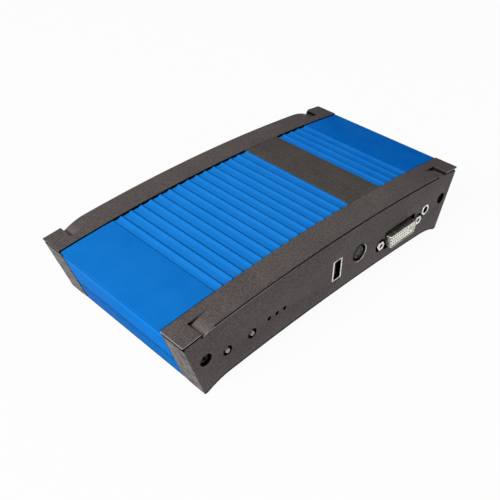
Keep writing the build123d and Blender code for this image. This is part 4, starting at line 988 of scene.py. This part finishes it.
@dataclass(frozen=True)
class Fasteners(Assembly):
    """The four panel screws and the four screws under the tray."""

    panel_x: Point = (-87.5, 88.4)
    panel_z: float = 20.7
    head_y: float = 49.5
    tray_x: Point = (-70.0, 70.0)
    tray_y: float = 26.0
    tray_head_z: float = 1.4
    tray_shank: float = 18.4
    panel_turns: Point = (0.35, 1.05)
    tray_turns: Point = (0.7, 0.1)

    def build(self) -> None:
        """Make the screws."""
        back, up = Matrix.Rotation(math.pi, 4, "Z"), Matrix.Rotation(math.pi / 2, 4, "X")
        self.group("panel_screws", CrossScrew(), self.panel_x, (self.head_y, self.panel_z), (Matrix(), back),
                   self.panel_turns)
        self.group("case_screws", CrossScrew(shank_length=self.tray_shank), self.tray_x,
                   (self.tray_y, self.tray_head_z), (up, up), self.tray_turns)

    def group(self, node: str, screw: CrossScrew, along: Point, spot: Point, aims: tuple[Matrix, Matrix],
              turns: Point) -> None:
        """Make one piece of four like screws.

        Args:
            node: the solid it stands for.
            screw: the kind of screw.
            along: their two places along the case.
            spot: how far off its middle plane their heads are, and how high.
            aims: how the front and the back ones point.
            turns: how the crosses at each place are turned, in radians.
        """
        whole = bpy.data.meshes.new("screws")
        gathered = bmesh.new()
        for x, turn in zip(along, turns):
            for side, aim in zip((-1, 1), aims):
                one = screw.shape(turn)
                place = Matrix.Translation((x * MM, (MIDDLE_Y + side * spot[0]) * MM, spot[1] * MM))
                bmesh.ops.transform(one, verts=one.verts, matrix=place @ aim)
                one.to_mesh(whole)
                one.free()
                gathered.from_mesh(whole)
        bpy.data.meshes.remove(whole)
        piece = self.bench.add(f"{node}_turned", gathered, node, Finish.BLACK_STEEL)
        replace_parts(piece, node)


@dataclass(frozen=True)
class ButtonPair(Assembly):
    """The two push buttons in their collars, with the stems of their switches."""

    x: Point = (-74.95, -59.9)
    z: float = 17.4
    profile: Profile = (
        (0.0, -49.85), (0.5, -49.84), (0.82, -49.79), (1.04, -49.68), (1.16, -49.5), (1.2, -49.3),
        (1.2, -45.4), (2.3, -45.4), (2.3, -44.4), (0.0, -44.4),
    )
    collar_edge: float = 0.2 * MM

    def build(self) -> None:
        """Make the buttons, the collars and the switches."""
        for body, x in zip(("power_button", "record_button"), self.x):
            shape = turned(self.profile, [(x, self.z)])
            cap = self.bench.add(f"{body}_cap", shape, body, Finish.BUTTON, body)
            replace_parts(cap, body)
        self.bench.soften("button_collars", Finish.COLLAR, self.collar_edge)
        for node in ("power_plunger", "record_plunger", "board_switches"):
            self.bench.carry(node, Finish.SOCKET)


@dataclass(frozen=True)
class LampRow(Assembly):
    """Three smoked light pipes with domed ends, and the lamps behind them."""

    x: tuple[float, ...] = (-49.1, -44.0, -38.95)
    z: float = 19.3
    profile: Profile = (
        (0.0, -47.15), (0.5, -47.11), (0.82, -46.99), (1.0, -46.8), (1.08, -46.5), (1.08, -43.35),
        (0.0, -43.35),
    )

    def build(self) -> None:
        """Make the pipes and dress the lamps."""
        shape = turned(self.profile, [(x, self.z) for x in self.x], steps=24)
        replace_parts(self.bench.add("light_pipe_lenses", shape, "light_pipes", Finish.LENS), "light_pipes")
        self.bench.carry("status_leds", Finish.CREAM)


@dataclass(frozen=True)
class UsbSocket(Assembly):
    """The upright USB socket: shell, tongue and contacts."""

    shell_edge: float = 0.12 * MM
    tongue_edge: float = 0.1 * MM

    def build(self) -> None:
        """Make the socket."""
        self.bench.soften("usb_shell", Finish.USB_SHELL, self.shell_edge)
        self.bench.soften("usb_tongue", Finish.SOCKET, self.tongue_edge)
        self.bench.carry("usb_contacts", Finish.PLATED)


@dataclass(frozen=True)
class MiniDinSocket(Assembly):
    """The round mini-DIN socket."""

    centre: Point = (15.9, 21.5)
    profile: Profile = (
        (4.85, -49.46), (4.92, -49.57), (5.02, -49.6), (5.12, -49.57), (5.2, -49.46), (5.2, -40.6),
        (4.85, -40.6),
    )
    core_edge: float = 0.12 * MM

    def build(self) -> None:
        """Make the socket."""
        shape = turned(self.profile, [self.centre], closed=True, steps=48)
        ring = self.bench.add("mini_din_rolled_ring", shape, "mini_din_ring", Finish.DIN_RING)
        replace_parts(ring, "mini_din_ring")
        self.bench.soften("mini_din_core", Finish.DIN_CORE, self.core_edge)
        self.bench.carry("mini_din_housing", Finish.SOCKET)


@dataclass(frozen=True)
class DviSocket(Assembly):
    """The DVI socket: shell, contact block, housing, leads and threaded jackscrews."""

    jackscrew_x: Point = (33.75, 67.05)
    z: float = 16.6
    bore: float = 1.27
    ridge: float = 0.2
    pitch: float = 0.55
    bore_ends: Point = (-50.0, -46.3)
    steps: int = 22
    shell_edge: float = 0.14 * MM
    block_edge: float = 0.07 * MM
    post_edge: float = 0.2 * MM

    def thread(self) -> Shape:
        """Cut the inner threads of both posts.

        Returns:
            The two threads' mesh.
        """
        shape = bmesh.new()
        start, end = self.bore_ends
        turns = (end - start) / self.pitch - 1
        crest = (self.bore - self.ridge, start + self.pitch / 2)
        outline = ((self.bore, start), crest, (self.bore, start + self.pitch))
        for x in self.jackscrew_x:
            points = [shape.verts.new(((x + radius) * MM, y * MM, self.z * MM)) for radius, y in outline]
            face = shape.faces.new(points)
            rise = (0, self.pitch * MM / self.steps, 0)
            middle = (x * MM, 0.0, self.z * MM)
            bmesh.ops.spin(shape, geom=[face, *face.edges, *face.verts], cent=middle, axis=(0, 1, 0),
                           dvec=rise, angle=math.tau * turns, steps=round(self.steps * turns))
        return shape

    def build(self) -> None:
        """Make the socket."""
        self.bench.soften("dvi_shell", Finish.SHELL_GREY, self.shell_edge)
        self.bench.soften("dvi_contact_block", Finish.IVORY, self.block_edge)
        self.bench.soften("dvi_jackscrews", Finish.POSTS, self.post_edge, sharp=40.0)
        self.bench.add("dvi_post_threads", self.thread(), "dvi_jackscrews", Finish.POSTS)
        self.bench.carry("dvi_housing", Finish.SOCKET)
        self.bench.carry("dvi_leads", Finish.PLATED)


@dataclass(frozen=True)
class AudioSocket(Assembly):
    """The audio jack: a turned sleeve with a rolled rim, its housing and blades."""

    centre: Point = (73.45, 20.2)
    profile: Profile = (
        (1.8, -49.3), (1.9, -49.5), (2.1, -49.62), (2.45, -49.7), (2.85, -49.68), (3.08, -49.58),
        (3.2, -49.35), (3.2, -46.8), (2.6, -46.8), (2.6, -37.7), (1.8, -37.7),
    )

    def build(self) -> None:
        """Make the jack."""
        shape = turned(self.profile, [self.centre], closed=True)
        sleeve = self.bench.add("audio_jack_turned_sleeve", shape, "audio_jack_sleeve", Finish.JACK_SLEEVE)
        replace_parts(sleeve, "audio_jack_sleeve")
        self.bench.carry("audio_jack_housing", Finish.SOCKET)
        self.bench.carry("audio_jack_springs", Finish.PLATED)


@dataclass(frozen=True)
class BackSockets(Assembly):
    """The network jack and the power jack at the back."""

    shield_edge: float = 0.15 * MM
    pin_centre: Point = (-62.0, 17.9)
    pin_profile: Profile = (
        (0.0, 50.65), (0.45, 50.6), (0.8, 50.4), (0.97, 50.05), (1.0, 49.7), (1.0, 41.85), (0.0, 41.85),
    )

    def build(self) -> None:
        """Make both jacks."""
        self.bench.soften("network_jack_shield", Finish.PLATED, self.shield_edge)
        self.bench.soften("network_jack_housing", Finish.SOCKET, self.shield_edge)
        self.bench.carry("network_jack_contacts", Finish.GOLD)
        self.bench.soften("power_jack_housing", Finish.SOCKET, self.shield_edge)
        shape = turned(self.pin_profile, [self.pin_centre], steps=24)
        pin = self.bench.add("power_jack_rounded_pin", shape, "power_jack_pin", Finish.PLATED)
        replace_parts(pin, "power_jack_pin")
        self.bench.carry("power_jack_spring", Finish.PLATED)


@dataclass(frozen=True)
class Electronics(Assembly):
    """The main board and everything soldered or screwed to it, inside the closed case."""

    finishes: tuple[tuple[Finish, tuple[str, ...]], ...] = (
        (Finish.BOARD, ("main_board",)),
        (Finish.CAN, ("board_screws", "capacitors", "clock_crystals", "coin_cell")),
        (Finish.BRASS, ("screw_inserts",)),
        (Finish.CHIP, ("video_input_chip", "processor_chip", "memory_chips", "flash_chip", "audio_chip",
                       "network_chip", "network_transformer")),
        (Finish.HEAT_PAD, ("thermal_pad",)),
        (Finish.SINK, ("heat_sink",)),
        (Finish.FERRITE, ("power_inductors",)),
        (Finish.SOCKET, ("coin_cell_holder",)),
    )

    def build(self) -> None:
        """Dress every part of the board."""
        for finish, nodes in self.finishes:
            for node in nodes:
                self.bench.carry(node, finish)


# Studio


@dataclass(frozen=True)
class Lamp:
    """One square lamp that points at the case."""

    name: str
    place: tuple[float, float, float]
    size: float
    watts: float

    def build(self) -> None:
        """Hang the lamp."""
        data = bpy.data.lights.new(self.name, "AREA")
        data.shape = "SQUARE"
        data.size = self.size
        data.energy = self.watts
        lamp = placed(self.name, data)
        lamp.location = self.place
        lamp.rotation_mode = "QUATERNION"
        lamp.rotation_quaternion = Vector(self.place).to_track_quat("Z", "Y")


@dataclass(frozen=True)
class Studio:
    """Pale floor, soft lamps and the camera at the photograph's angle."""

    azimuth: float = math.radians(-45.459)
    elevation: float = math.radians(37.946)
    roll: float = math.radians(0.861)
    distance: float = 394.889 * MM
    target: tuple[float, float, float] = (-1.943 * MM, (7.799 + MIDDLE_Y) * MM, 0.0)
    focal_pixels: float = 718.086
    frame_pixels: float = 500.0
    centre_pixels: Point = (251.3, 250.3)
    floor_size: float = 6.0
    sky_strength: float = 0.32
    floor_glow: float = 0.95
    lamps: tuple[Lamp, ...] = (
        Lamp("key_lamp", (-1.25, 0.1, 1.0), 0.6, 24.0),
        Lamp("front_lamp", (-0.1, -1.3, 0.7), 0.9, 8.0),
    )

    def camera(self) -> None:
        """Place the camera."""
        away = Vector((
            math.sin(self.azimuth) * math.cos(self.elevation),
            -math.cos(self.azimuth) * math.cos(self.elevation),
            math.sin(self.elevation),
        ))
        right = Vector((0, 0, 1)).cross(away).normalized()
        up = away.cross(right)
        turn_right = math.cos(self.roll) * right + math.sin(self.roll) * up
        turn_up = math.cos(self.roll) * up - math.sin(self.roll) * right
        data = bpy.data.cameras.new("camera")
        data.sensor_width = 36.0
        data.lens = self.focal_pixels / self.frame_pixels * data.sensor_width
        data.clip_start = 0.02
        data.clip_end = 20.0
        data.shift_x = (self.frame_pixels / 2 - self.centre_pixels[0]) / self.frame_pixels
        data.shift_y = (self.centre_pixels[1] - self.frame_pixels / 2) / self.frame_pixels
        camera = placed("camera", data)
        rotation = Matrix((turn_right, turn_up, away)).transposed().to_4x4()
        place = Vector(self.target) + self.distance * away
        camera.matrix_world = Matrix.Translation(place) @ rotation
        bpy.context.scene.camera = camera

    def floor(self) -> None:
        """Lay the floor, which the camera and reflections see as nearly white."""
        shape = bmesh.new()
        bmesh.ops.create_grid(shape, x_segments=1, y_segments=1, size=self.floor_size / 2)
        floor = laid("floor", shape)
        paint = Paint("pale_floor")
        seen = (paint.rays("Camera") + paint.rays("Glossy") + paint.rays("Transmission")).clamped()
        matte = paint.node("ShaderNodeBsdfDiffuse", {}, {"Color": (0.6, 0.6, 0.6, 1.0)})
        glow = paint.node("ShaderNodeEmission", {}, {"Color": WHITE, "Strength": 1.0})
        paint.close(paint.node("ShaderNodeMixShader", {}, {0: seen * self.floor_glow, 1: matte, 2: glow}))
        floor.data.materials.append(paint.owner)

    def sky(self) -> None:
        """Light the world evenly, and show it white behind the floor."""
        paint = Paint("studio", world=True)
        seen = paint.rays("Camera").highest(paint.rays("Transmission"))
        dim, bright = (paint.node("ShaderNodeBackground", {}, {"Color": WHITE, "Strength": strength})
                       for strength in (self.sky_strength, 1.0))
        paint.close(paint.node("ShaderNodeMixShader", {}, {0: seen, 1: dim, 2: bright}))
        bpy.context.scene.world = paint.owner

    def build(self) -> None:
        """Set up the whole studio."""
        self.camera()
        self.floor()
        self.sky()
        for lamp in self.lamps:
            lamp.build()
        bpy.context.scene.view_settings.view_transform = "Standard"


def main() -> None:
    """Build the encoder and its studio, in order."""
    logging.basicConfig(level=logging.INFO)
    Studio().build()
    bench = Bench()
    for kind in (Case, Fasteners, ButtonPair, LampRow, UsbSocket, MiniDinSocket, DviSocket, AudioSocket,
                 BackSockets, Electronics):
        kind(bench).build()


if __name__ == "__main__":
    main()
